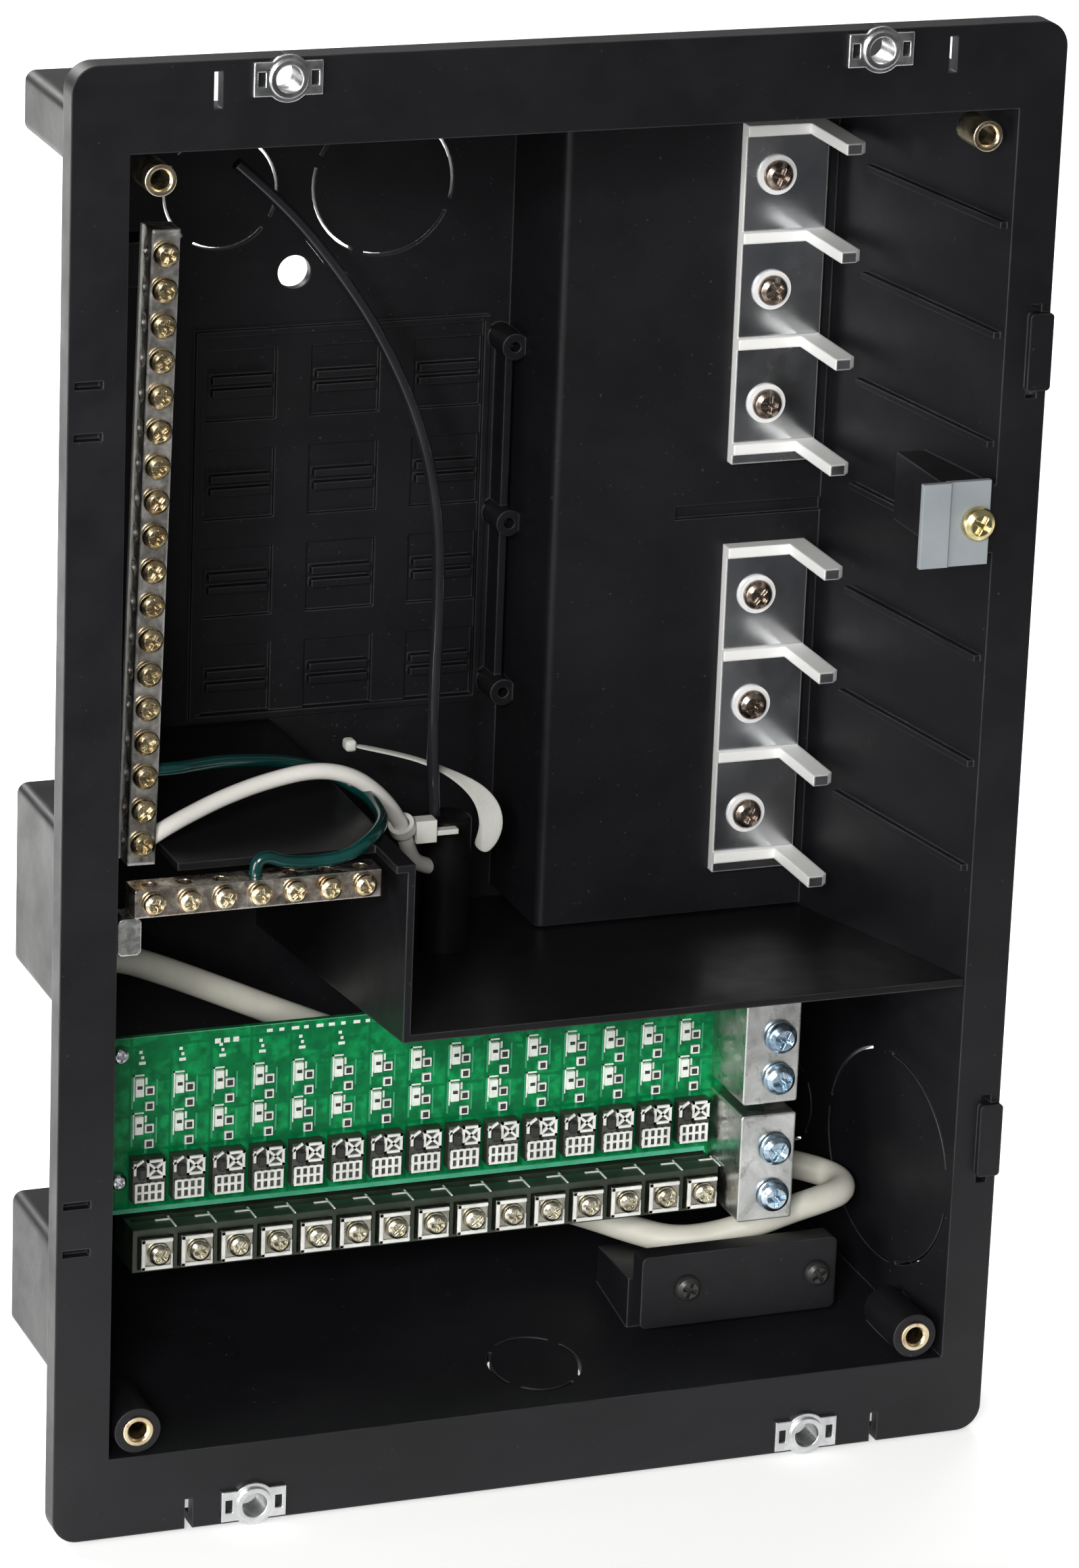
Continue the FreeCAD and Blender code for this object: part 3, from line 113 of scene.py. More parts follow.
ROW_ZS = (-1.9, -1.1)
TITLE_XS = (-66.5, -65.1)
TITLE_PITCH = 2.2
TITLE_MARKS = 3
TITLE_ZS = (-3.4, -2.2)
EDGE_RIGHT = 56.0
EDGE_INSET = 1.0
EDGE_DEEP = 0.5
EDGE_ZS = (0.1, 1.2)

# Contacts and latches of the fuse holders, and the rims and ribs of the terminal block.
GRID_HALF = 3.5
GRID_BARS = 5
GRID_PITCH = 1.6
GRID_LINE = 0.62
GRID_ZS = (0.2, 4.9)
GRID_ROWS = 3
GRID_ROW_PITCH = 2.1
GRID_ROW_H = 0.5
GRID_PROUD = (0.5, 0.45)
CROSS_AT = (1.5, -2.4)
CROSS_HALF = 2.9
CROSS_TURN = math.radians(42)
CROSS_FRAME = (2.2, 2.3)
CROSS_LINE = 0.6
CROSS_PROUD = 0.55
ARM_AT = (-2.7, -0.9)
ARM_HALF = 1.5
ARM_LINE = 0.55
ARM_TURN = math.radians(35)
ARM_FOOT = (-3.8, -3.2, -3.6, -0.7)
LATCH = (-2.9, -0.9, -4.6, -1.6)
LATCH_PROUD = 1.3
LATCH_BEVEL = 0.35
PRINTED_BAR_T = 0.5
RIM_LINE = (0.9, 0.45)
RIM_PROUD = (0.45, 0.3)
RIM_BEVEL = 0.12
RIB_XS = ((4.6, 4.95), (1.2, 4.9))
RIB_YS = ((-0.1, 6.0), (4.2, 4.7))
RIB_H = 0.25

STRAP_Y = 72.3
STRAP_T = 0.4
STRAP_HEAD = (-1.8, 1.2, -1.9, 1.9, -1.4, 1.7)
STRAP_HEAD_BEVEL = 0.5
STRAP_PATH = ((-24.2, -11.1, 1.5, 0.1), (-17.0, -13.0, 1.5, 0.1), (-7.3, -16.0, 1.5, 0.15),
              (-1.0, -19.2, 1.6, 0.3), (4.4, -22.6, 2.0, 0.8), (8.6, -26.2, 2.7, 1.2),
              (11.2, -30.6, 3.4, 1.5), (11.7, -35.0, 3.5, 1.57), (10.0, -38.6, 3.0, 1.57),
              (8.6, -40.2, 2.0, 1.57))
BAR_LEFT = -90.8
BAR_TOP = 128.4
BAR_LOW = -17.0
BAR_PIVOT = 123.0
BAR_LEAN = 1.26
# Place of the thin bright strip on the neutral bar's back edge, a painted highlight.
BAR_HIGHLIGHT_Y = (27.7, 29.0)
BAR_HIGHLIGHT_X = (-0.5, 0.1)

# ---- the looks and the floor ------------------------------------------------------------------
EDGE_SAMPLES = 6
EDGE_MASK_LIMITS = (0.97, 0.78)        # how alike the true and rounded normals are on a face and on an edge
# Y limits of the band on the bus bar's plate that is painted near white, a painted highlight.
BUS_RIDGE_Y = (0.0693, 0.0698)
BUS_BLADE_Y = (0.055, 0.060)
WORLD_LIGHT = 0.16
SPOT_BLEND = 0.6
FLOOR_SIZE = 14
FLOOR_GAP = 0.0005
# The floor is painted dark grey in front of these Y places (painted shade) and is pale and glowing behind
# them (painted light).
FLOOR_PAINTED_SHADE_Y = -0.30
FLOOR_PAINTED_LIGHT_Y = -0.06
FLOOR_GLOW = 0.45

# ---- the routes of the cords ------------------------------------------------------------------
CABLE_R = 3.4
CABLE_ROUTE = ((-91.0, 58.0, -52.0), (-84.5, 58.6, -52.8), (-75.0, 62.8, -57.6), (-60.0, 69.0, -66.0),
               (-40.0, 71.0, -76.0), (-14.0, 68.5, -87.0), (16.0, 64.0, -98.5), (44.0, 58.5, -107.5),
               (64.0, 53.0, -114.5), (76.0, 49.6, -117.0), (84.5, 46.3, -118.6), (89.9, 42.0, -119.6),
               (91.0, 37.0, -119.9), (88.7, 32.3, -120.1), (82.5, 30.0, -120.5), (75.5, 30.3, -122.2),
               (68.0, 31.5, -125.0), (58.0, 33.5, -128.4), (48.0, 37.0, -130.0), (41.0, 45.5, -129.9),
               (33.0, 53.0, -128.3), (22.0, 58.0, -125.4), (5.0, 60.5, -121.5), (-9.0, 62.0, -115.0),
               (-18.5, 60.5, -106.5), (-23.0, 53.5, -98.5), (-23.0, 41.6, -97.0))
BLACK_R = 1.45
BLACK_ROUTE = ((-4.8, 66.4, -31.0), (-5.4, 66.5, -22.0), (-5.9, 66.9, -12.0), (-5.7, 68.0, 2.0),
               (-4.6, 69.5, 22.0), (-5.0, 70.5, 44.0), (-9.6, 71.5, 65.5), (-19.5, 72.5, 87.0),
               (-31.0, 73.0, 104.0), (-44.0, 73.2, 119.5), (-55.0, 73.0, 129.0))
WHITE_R = 1.9
WHITE_ROUTE = ((-87.45, 25.5, -11.9), (-82.6, 26.2, -9.6), (-76.0, 28.2, -7.6), (-68.2, 31.2, -5.9),
               (-57.4, 34.8, -4.4), (-44.9, 37.4, -3.5), (-34.6, 40.2, -6.8), (-25.4, 46.0, -14.8),
               (-18.5, 52.0, -23.9), (-14.9, 56.4, -32.6), (-11.6, 60.4, -37.4), (-6.4, 64.6, -40.0))
GREEN_R = 1.5
GREEN_ROUTE = ((-87.1, 25.5, 3.94), (-81.5, 26.6, 3.5), (-76.0, 30.2, 2.5), (-68.0, 35.0, 1.2),
               (-56.1, 41.0, -1.6), (-47.3, 45.0, -4.2), (-38.8, 48.3, -8.0), (-33.0, 47.0, -11.2),
               (-30.2, 41.5, -12.9), (-30.6, 33.5, -13.4), (-32.6, 25.5, -12.7), (-35.9, 18.7, -12.3),
               (-40.6, 12.4, -12.6), (-45.6, 9.9, -14.2), (-50.4, 9.5, -15.0), (-56.0, 9.5, -15.1),
               (-61.3, 9.5, -14.5), (-65.4, 9.5, -12.7), (-68.0, 9.5, -14.0), (-68.0, 9.5, -17.2))


random.seed(7)


def add_camera():
    data = bpy.data.cameras.new("camera")
    data.lens = CAMERA_LENS
    data.sensor_width = CAMERA_SENSOR
    data.clip_start = CAMERA_NEAR
    camera = bpy.data.objects.new("camera", data)
    bpy.context.collection.objects.link(camera)
    right, up, forward = Vector(CAMERA_RIGHT), Vector(CAMERA_UP), Vector(CAMERA_FORWARD)
    turn = Matrix((right, up, -forward)).transposed()
    camera.matrix_world = Matrix.Translation(CAMERA_AT) @ turn.to_4x4()
    bpy.context.scene.camera = camera


# ---- materials --------------------------------------------------------------------------------
class Shade:
    """A Principled material with short ways to add the nodes that every surface here uses."""

    def __init__(self, name, rough=0.5, metal=0.0, specular=0.5, coat=0.0):
        self.mat = bpy.data.materials.new(name)
        self.mat.use_nodes = True
        self.nodes = self.mat.node_tree.nodes
        self.links = self.mat.node_tree.links
        self.bsdf = self.nodes["Principled BSDF"]
        self.bsdf.inputs["Roughness"].default_value = rough
        self.bsdf.inputs["Metallic"].default_value = metal
        self.bsdf.inputs["Specular IOR Level"].default_value = specular
        self.bsdf.inputs["Coat Weight"].default_value = coat
        self.bsdf.inputs["Coat Roughness"].default_value = 0.12
        self.coords = self.nodes.new("ShaderNodeTexCoord")

    def add(self, kind, **values):
        node = self.nodes.new(kind)
        for key, value in values.items():
            setattr(node, key, value)
        return node

    def noise(self, scale, detail=4.0, rough=0.55, stretch=(1, 1, 1), distort=0.0):
        mapping = self.add("ShaderNodeMapping")
        mapping.inputs["Scale"].default_value = stretch
        self.links.new(self.coords.outputs["Object"], mapping.inputs["Vector"])
        node = self.add("ShaderNodeTexNoise")
        node.inputs["Scale"].default_value = scale
        node.inputs["Detail"].default_value = detail
        node.inputs["Roughness"].default_value = rough
        node.inputs["Distortion"].default_value = distort
        self.links.new(mapping.outputs["Vector"], node.inputs["Vector"])
        return node.outputs["Fac"]

    def remap(self, source, low, high, to_low=0.0, to_high=1.0):
        node = self.add("ShaderNodeMapRange")
        node.clamp = True
        for name, value in (("From Min", low), ("From Max", high), ("To Min", to_low), ("To Max", to_high)):
            node.inputs[name].default_value = value
        self.links.new(source, node.inputs["Value"])
        return node.outputs["Result"]

    def maths(self, how, a, b):
        node = self.add("ShaderNodeMath", operation=how)
        for socket, value in zip(node.inputs, (a, b)):
            if isinstance(value, (int, float)):
                socket.default_value = value
            else:
                self.links.new(value, socket)
        return node.outputs[0]

    def mix(self, factor, a, b):
        node = self.add("ShaderNodeMix", data_type="RGBA")
        self.links.new(factor, node.inputs["Factor"])
        sockets = [s for s in node.inputs if s.type == "RGBA"]
        for socket, value in zip(sockets, (a, b)):
            if isinstance(value, (tuple, list)):
                socket.default_value = (*value[:3], 1.0)
            else:
                self.links.new(value, socket)
        return [s for s in node.outputs if s.type == "RGBA"][0]

    def edges(self, radius):
        """How far each point is along an edge, and the rounded normal that goes with it; the edge mask
        carries edge wear, and on the bus bar and the neutral bar a painted highlight.
        """
        bevel = self.add("ShaderNodeBevel", samples=EDGE_SAMPLES)
        bevel.inputs["Radius"].default_value = radius
        geometry = self.add("ShaderNodeNewGeometry")
        dot = self.add("ShaderNodeVectorMath", operation="DOT_PRODUCT")
        self.links.new(bevel.outputs["Normal"], dot.inputs[0])
        self.links.new(geometry.outputs["Normal"], dot.inputs[1])
        return self.remap(dot.outputs["Value"], *EDGE_MASK_LIMITS), bevel.outputs["Normal"]

    def bump(self, height, strength, distance, normal=None):
        node = self.add("ShaderNodeBump")
        node.inputs["Strength"].default_value = strength
        node.inputs["Distance"].default_value = distance
        self.links.new(height, node.inputs["Height"])
        if normal is not None:
            self.links.new(normal, node.inputs["Normal"])
        return node.outputs["Normal"]

    def finish(self, colour=None, rough=None, normal=None):
        for socket, value in (("Base Color", colour), ("Roughness", rough), ("Normal", normal)):
            if value is not None:
                self.links.new(value, self.bsdf.inputs[socket])
        return self.mat


def moulded_black(name, dark, light, rough=(0.34, 0.55), specular=0.3):
    """Injection moulded plastic: a fine grain, faint flow marks, rubbed edges and a little dust."""
    s = Shade(name, specular=specular)
    flow = s.remap(s.noise(14, 5, 0.6, (1, 1, 2.2), 0.6), 0.35, 0.7)
    colour = s.mix(flow, dark, light)
    dust = s.remap(s.noise(900, 2, 0.5), 0.70, 0.78, 0.0, 0.35)
    colour = s.mix(dust, colour, (0.09, 0.09, 0.095))
    edge_mask, rounded = s.edges(0.0006)
    rubbed = s.maths("MULTIPLY", edge_mask, s.remap(s.noise(60, 3), 0.3, 0.7, 0.15, 0.8))
    colour = s.mix(rubbed, colour, (0.085, 0.085, 0.092))
    roughness = s.remap(s.noise(35, 6, 0.65, (1, 1, 1), 0.3), 0.3, 0.72, *rough)
    grain = s.noise(2600, 3, 0.6)
    return s.finish(colour, roughness, s.bump(grain, 0.22, 0.00006, rounded))


def bright_metal(name, light, dark, rough=(0.16, 0.42), stretch=(1, 1, 1), stain=None, edge=0.0005,
                 patch=90):
    """Plated or extruded metal with drawn lines, patchy tone and bright edges."""
    s = Shade(name, metal=1.0)
    tone = s.remap(s.noise(patch, 6, 0.62, (1, 1, 1), 0.8), 0.32, 0.68)
    colour = s.mix(tone, light, dark)
    if stain is not None:
        spots = s.remap(s.noise(patch * 3.3, 4, 0.6), 0.58, 0.72, 0.0, 0.75)
        colour = s.mix(spots, colour, stain)
    lines = s.noise(700, 3, 0.6, stretch)
    edge_mask, rounded = s.edges(edge)
    # Edges are painted brighter than the metal: edge wear, and on the neutral bar's wide edge band a painted
    # highlight along its rim.
    colour = s.mix(s.remap(edge_mask, 0, 1, 0.0, 0.8), colour, tuple(min(1.0, c * 1.12 + 0.06) for c in light))
    roughness = s.remap(s.noise(patch * 2.1, 5, 0.6, (1, 1, 1), 0.4), 0.3, 0.7, *rough)
    return s.finish(colour, roughness, s.bump(lines, 0.25, 0.00005, rounded))


def bus_metal(name):
    """Rolled aluminium bar: a polished front with mill lines, and satin sides where it was cut and bent; the
    sides, the band behind the blades and the edges are also painted near white, a painted highlight.
    """
    s = Shade(name, metal=1.0)
    tone = s.remap(s.noise(55, 3, 0.5), 0.3, 0.7)
    colour = s.mix(tone, (0.86, 0.87, 0.88), (0.60, 0.63, 0.68))
    geometry = s.add("ShaderNodeNewGeometry")
    split = s.add("ShaderNodeSeparateXYZ")
    s.links.new(geometry.outputs["True Normal"], split.inputs["Vector"])
    front = s.remap(s.maths("MULTIPLY", split.outputs["Y"], -1.0), 0.80, 0.97)
    place = s.add("ShaderNodeSeparateXYZ")
    s.links.new(s.coords.outputs["Object"], place.inputs["Vector"])
    # The band of the plate between the blades and its back is painted near white: a painted highlight.
    ridge = s.maths("MULTIPLY", s.remap(place.outputs["Y"], *BUS_RIDGE_Y, 1.0, 0.0),
                    s.remap(place.outputs["Y"], *BUS_BLADE_Y))
    edge_mask, rounded = s.edges(0.0007)
    front = s.maths("MULTIPLY", front, s.maths("SUBTRACT", 1.0, s.maths("MAXIMUM", edge_mask, ridge)))
    # Painted highlight: faces that do not face the front, that band and the edges get the near-white colour;
    # they are also rougher and less metallic.
    colour = s.mix(front, (1.0, 1.0, 0.98), colour)
    lines = s.noise(900, 2, 0.5, (0.12, 1, 1))
    rough_front = s.remap(s.noise(80, 4, 0.6), 0.3, 0.7, 0.17, 0.30)
    roughness = s.maths("ADD", s.maths("MULTIPLY", front, rough_front),
                        s.maths("MULTIPLY", s.maths("SUBTRACT", 1.0, front), 0.55))
    s.links.new(s.remap(front, 0.0, 1.0, 0.15, 1.0), s.bsdf.inputs["Metallic"])
    return s.finish(colour, roughness, s.bump(lines, 0.18, 0.00004, rounded))


def smooth_plastic(name, colour_a, colour_b, rough=(0.25, 0.45), scale=120, coat=0.0, specular=0.5,
                   edge=0.0003, subsurface=0.0, grain=1800, grain_depth=0.00003):
    """Nylon, wire insulation, lamps and housings: soft changes of tone and a fine uneven skin."""
    s = Shade(name, specular=specular, coat=coat)
    s.bsdf.inputs["Subsurface Weight"].default_value = subsurface
    s.bsdf.inputs["Subsurface Radius"].default_value = (0.002, 0.002, 0.0015)
    tone = s.remap(s.noise(scale, 5, 0.6), 0.3, 0.7)
    colour = s.mix(tone, colour_a, colour_b)
    _, rounded = s.edges(edge)
    roughness = s.remap(s.noise(scale * 1.7, 4, 0.6), 0.3, 0.7, *rough)
    skin = s.noise(grain, 2, 0.5)
    return s.finish(colour, roughness, s.bump(skin, 0.2, grain_depth, rounded))


def board_laminate(name):
    """Green solder resist over copper: the copper's islands show as a lighter, yellower green."""
    s = Shade(name, specular=0.14)
    brick = s.add("ShaderNodeTexBrick")
    mapping = s.add("ShaderNodeMapping")
    mapping.inputs["Rotation"].default_value = (math.pi / 2, 0, 0)
    s.links.new(s.coords.outputs["Object"], mapping.inputs["Vector"])
    s.links.new(mapping.outputs["Vector"], brick.inputs["Vector"])
    for key, value in (("Scale", 1.0), ("Mortar Size", 0.0004), ("Brick Width", WAY_PITCH * MM),
                       ("Row Height", 0.0085), ("Mortar Smooth", 0.1)):
        brick.inputs[key].default_value = value
    brick.offset = 0.0
    brick.inputs["Color1"].default_value = (1, 1, 1, 1)
    brick.inputs["Color2"].default_value = (0.8, 0.8, 0.8, 1)
    brick.inputs["Mortar"].default_value = (0, 0, 0, 1)
    islands = s.maths("MULTIPLY", brick.outputs["Color"], s.remap(s.noise(160, 2, 0.4), 0.42, 0.5))
    colour = s.mix(islands, (0.0010, 0.165, 0.046), (0.004, 0.285, 0.080))
    weave = s.remap(s.noise(420, 3, 0.5, (1, 1, 1)), 0.35, 0.65)
    colour = s.mix(weave, colour, (0.001, 0.120, 0.038))
    edge, rounded = s.edges(0.0005)
    colour = s.mix(edge, colour, (0.25, 0.62, 0.40))
    roughness = s.remap(s.noise(200, 4), 0.3, 0.7, 0.22, 0.40)
    return s.finish(colour, roughness, s.bump(islands, 0.35, 0.00005, rounded))


def make_materials():
    """Every look, by a short name."""
    return {
        "housing": moulded_black("housing_black", (0.0055, 0.0055, 0.0068), (0.0095, 0.0095, 0.012)),
        "partition": moulded_black("partition_black", (0.0045, 0.0045, 0.0052), (0.008, 0.008, 0.0095),
                                   (0.28, 0.48)),
        "insert": bright_metal("insert_brass", (0.90, 0.80, 0.58), (0.55, 0.40, 0.22), (0.18, 0.4),
                               stain=(0.30, 0.14, 0.08)),
        "nut": bright_metal("nut_zinc", (0.86, 0.87, 0.88), (0.50, 0.51, 0.52), (0.18, 0.42)),
        "bus": bus_metal("bus_aluminium"),
        "washer": smooth_plastic("washer_zinc", (0.95, 0.95, 0.95), (0.80, 0.81, 0.82), (0.2, 0.4), 200,
                                 edge=0.0001),
        "bus_screw": bright_metal("bus_screw_bronze", (0.56, 0.47, 0.40), (0.16, 0.11, 0.08), (0.16, 0.36),
                                  stain=(0.20, 0.07, 0.05), patch=200),
        "screw": bright_metal("screw_zinc", (0.90, 0.91, 0.93), (0.46, 0.50, 0.56), (0.12, 0.34)),
        # Its wide edge band (edge=0.0011) paints a highlight along the bar's rim.
        "bar": bright_metal("bar_aluminium", (1.0, 0.98, 0.93), (0.34, 0.31, 0.27), (0.22, 0.48),
                            (1, 1, 0.12), edge=0.0011, patch=150),
        "bar_screw": bright_metal("bar_screw_brass", (0.88, 0.77, 0.50), (0.36, 0.24, 0.11), (0.14, 0.36),
                                  stain=(0.30, 0.10, 0.05), patch=210),
        "ground": bright_metal("ground_bar_aluminium", (0.92, 0.88, 0.80), (0.30, 0.20, 0.13), (0.16, 0.4),
                               (0.12, 1, 1), stain=(0.16, 0.07, 0.04), patch=190),
        "ground_screw": bright_metal("ground_screw_brass", (0.93, 0.84, 0.62), (0.50, 0.34, 0.17),
                                     (0.14, 0.36), stain=(0.28, 0.10, 0.05), patch=170),
        "clip_screw": bright_metal("clip_screw_brass", (0.88, 0.78, 0.42), (0.46, 0.33, 0.12), (0.14, 0.36),
                                   patch=160),
        "clip": smooth_plastic("clip_zinc", (0.34, 0.37, 0.39), (0.28, 0.31, 0.33), (0.30, 0.45), 60,
                               grain=900, edge=0.0004),
        "tin": bright_metal("tin_plate", (0.93, 0.93, 0.90), (0.52, 0.53, 0.50), (0.16, 0.38), patch=220),
        "lug": bright_metal("lug_tin_plate", (0.88, 0.89, 0.87), (0.45, 0.46, 0.44), (0.18, 0.42),
                            (1, 1, 0.15), stain=(0.26, 0.28, 0.24), edge=0.0009, patch=80),
        "lug_screw": bright_metal("lug_screw_zinc", (0.70, 0.86, 1.0), (0.20, 0.32, 0.44), (0.12, 0.32),
                                  stain=(0.10, 0.14, 0.18), patch=150),
        "board": board_laminate("board_green"),
        "holder": smooth_plastic("holder_black", (0.018, 0.020, 0.017), (0.055, 0.062, 0.048)),
        "lamp": smooth_plastic("lamp_lens", (0.86, 0.90, 0.84), (0.62, 0.70, 0.62), (0.12, 0.3), 500,
                               coat=0.4),
        "block": smooth_plastic("terminal_housing", (0.010, 0.017, 0.010), (0.030, 0.045, 0.026)),
        "cable": smooth_plastic("cable_jacket_white", (0.72, 0.71, 0.63), (0.56, 0.55, 0.47), (0.38, 0.6),
                                40, subsurface=0.05),
        "white_wire": smooth_plastic("wire_white", (0.95, 0.93, 0.88), (0.84, 0.82, 0.77), (0.25, 0.4), 60,
                                     coat=0.2, subsurface=0.05),
        "black_wire": smooth_plastic("wire_black", (0.012, 0.012, 0.014), (0.022, 0.022, 0.026),
                                     (0.12, 0.22), 60, coat=0.5),
        "green_wire": smooth_plastic("wire_green", (0.0005, 0.022, 0.021), (0.001, 0.050, 0.045),
                                     (0.16, 0.26), 60, coat=0.6),
        "jacket": smooth_plastic("jacket_black", (0.003, 0.003, 0.0035), (0.006, 0.006, 0.007),
                                 (0.4, 0.6), 80, specular=0.12),
        "tie": smooth_plastic("tie_nylon", (0.80, 0.80, 0.76), (0.66, 0.66, 0.60), (0.3, 0.5), 90,
                              subsurface=0.1),
        "silk": smooth_plastic("silk_white", (0.82, 0.86, 0.80), (0.60, 0.68, 0.60), (0.4, 0.6), 900,
                               edge=0.00005),
        "trace": smooth_plastic("trace_green", (0.030, 0.34, 0.15), (0.020, 0.26, 0.11), (0.25, 0.4), 400,
                                edge=0.00005),
        "dark": smooth_plastic("component_black", (0.012, 0.014, 0.012), (0.030, 0.032, 0.028)),
        "teal": smooth_plastic("board_edge_teal", (0.10, 0.50, 0.30), (0.05, 0.36, 0.20), (0.4, 0.6), 200,
                               edge=0.00005),
        "bright_tin": smooth_plastic("bright_tin", (0.86, 0.87, 0.84), (0.62, 0.63, 0.60), (0.25, 0.45), 260,
                                     edge=0.0001),
        "term_screw": bright_metal("term_screw", (0.86, 0.82, 0.66), (0.30, 0.26, 0.17), (0.14, 0.34),
                                   stain=(0.10, 0.09, 0.07), patch=240),
        "dull_tin": bright_metal("dull_tin", (0.55, 0.53, 0.46), (0.25, 0.24, 0.20), (0.25, 0.45),
                                 patch=260),
    }


NODE_LOOKS = {
    "enclosure_body": "housing", "partition": "partition", "cover_screw_inserts": "insert",
    "clip_nuts": "nut", "bus_bar_upper": "bus", "bus_bar_lower": "bus", "bus_bar_screws": "bus_screw",
    "bus_bar_washers": "washer", "neutral_bar": "bar", "neutral_bar_screws": "bar_screw",
    "ground_bar": "ground", "ground_bar_screws": "ground_screw", "ground_bar_bracket": "tin",
    "hold_down_clip": "clip", "hold_down_screw": "clip_screw", "fuse_board": "board",
    "board_screws": "screw", "fuse_holders": "holder", "fuse_clips": "dull_tin", "indicator_lamps": "lamp",
    "test_pads": "bright_tin", "terminal_block": "block", "terminal_plates": "dull_tin",
    "terminal_screws": "term_screw",
    "lug_upper": "lug", "lug_lower": "lug", "lug_bolts": "screw", "cable_clamp_bar": "housing",
    "cable_clamp_screws": "dark", "cable_sheath": "jacket", "cable_tie_small": "tie",
    "cable_tie_wide": "tie", "feed_cable": "cable", "black_wire": "black_wire",
    "white_wire": "white_wire", "green_wire": "green_wire", "lug_screw_1": "lug_screw",
    "lug_screw_2": "lug_screw", "lug_screw_3": "lug_screw", "lug_screw_4": "lug_screw",
}


def dress_nodes(looks):
    for name, look in NODE_LOOKS.items():
        for slot in NODES[name].material_slots:
            slot.material = looks[look]


# ---- cords ------------------------------------------------------------------------------------
def cord_curve(name, route, radius, look):
    data = bpy.data.curves.new(name, "CURVE")
    data.dimensions = "3D"
    data.bevel_depth = radius * MM
    data.bevel_resolution = 6
    data.resolution_u = 12
    data.use_fill_caps = True
    spline = data.splines.new("NURBS")
    spline.points.add(len(route) - 1)
    for point, place in zip(spline.points, route):
        point.co = (*(v * MM for v in place), 1.0)
    spline.order_u = 3
    spline.use_endpoint_u = True
    data.materials.append(look)
    piece = bpy.data.objects.new(name, data)
    bpy.context.collection.objects.link(piece)
    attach(piece, ROOT)
    return piece


def add_cords(looks):
    feed = cord_curve("feed_cable_line", CABLE_ROUTE, CABLE_R, looks["cable"])
    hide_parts("feed_cable")
    black = cord_curve("black_wire_line", BLACK_ROUTE, BLACK_R, looks["black_wire"])
    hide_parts("black_wire")
    white = cord_curve("white_wire_line", WHITE_ROUTE, WHITE_R, looks["white_wire"])
    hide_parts("white_wire")
    green = cord_curve("green_wire_line", GREEN_ROUTE, GREEN_R, looks["green_wire"])
    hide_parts("green_wire")


# ---- meshes -----------------------------------------------------------------------------------
def mesh_piece(name, bm, look, body=ROOT, smooth=False):
    bmesh.ops.recalc_face_normals(bm, faces=bm.faces)
    data = bpy.data.meshes.new(name)
    bm.to_mesh(data)
    bm.free()
    data.materials.append(look)
    if smooth:
        data.shade_smooth()
    piece = bpy.data.objects.new(name, data)
    bpy.context.collection.objects.link(piece)
    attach(piece, body)
    return piece


def add_box(bm, x0, x1, y0, y1, z0, z1, bevel=0.0):
    corners = [bm.verts.new((x * MM, y * MM, z * MM)) for x in (x0, x1) for y in (y0, y1) for z in (z0, z1)]
    faces = []
    for ids in ((0, 1, 3, 2), (4, 6, 7, 5), (0, 4, 5, 1), (2, 3, 7, 6), (0, 2, 6, 4), (1, 5, 7, 3)):
        faces.append(bm.faces.new([corners[i] for i in ids]))
    if bevel > 0:
        edges = {edge for face in faces for edge in face.edges}
        bmesh.ops.bevel(bm, geom=list(edges), offset=bevel * MM, segments=2, affect="EDGES")


def add_bar(bm, x, z, half, line, turn, front):
    """A straight thin bar, turned in the plane of the board."""
    along = Vector((math.cos(turn), 0, math.sin(turn))) * half
    across = Vector((-math.sin(turn), 0, math.cos(turn))) * line / 2
    middle = Vector((x, front, z))
    rings = []
    for y in (-PRINTED_BAR_T, 0.0):
        lift = Vector((0, y, 0))
        rings.append([bm.verts.new((middle + lift + a + b) * MM) for a, b in
                      ((along, across), (along, -across), (-along, -across), (-along, across))])
    bm.faces.new(rings[0])
    bm.faces.new(rings[1][::-1])
    for k in range(4):
        bm.faces.new((rings[0][k], rings[1][k], rings[1][(k + 1) % 4], rings[0][(k + 1) % 4]))


def way_xs():
    return [WAY_X0 + WAY_PITCH * i for i in range(WAYS)]


def boxes_piece(name, boxes, look, bevel=0.0):
    bm = bmesh.new()
    for values in boxes:
        add_box(bm, *values, bevel=bevel)
    return mesh_piece(name, bm, look)


def frame_boxes(cx, cz, half_x, half_z, line, y0, y1, sides="ltrb"):
    """The four sides of a printed or pressed rectangle, as thin boxes."""
    made = []
    if "l" in sides:
        made.append((cx - half_x, cx - half_x + line, y0, y1, cz - half_z, cz + half_z))
    if "r" in sides:
        made.append((cx + half_x - line, cx + half_x, y0, y1, cz - half_z, cz + half_z))
    if "t" in sides:
        made.append((cx - half_x, cx + half_x, y0, y1, cz + half_z - line, cz + half_z))
    if "b" in sides:
        made.append((cx - half_x, cx + half_x, y0, y1, cz - half_z, cz - half_z + line))
    return made


def mark(x, z, sides, y0, y1):
    """A thin box whose left, right, low and high sides are counted from a middle."""
    left, right, low, high = sides
    return (x + left, x + right, y0, y1, z + low, z + high)


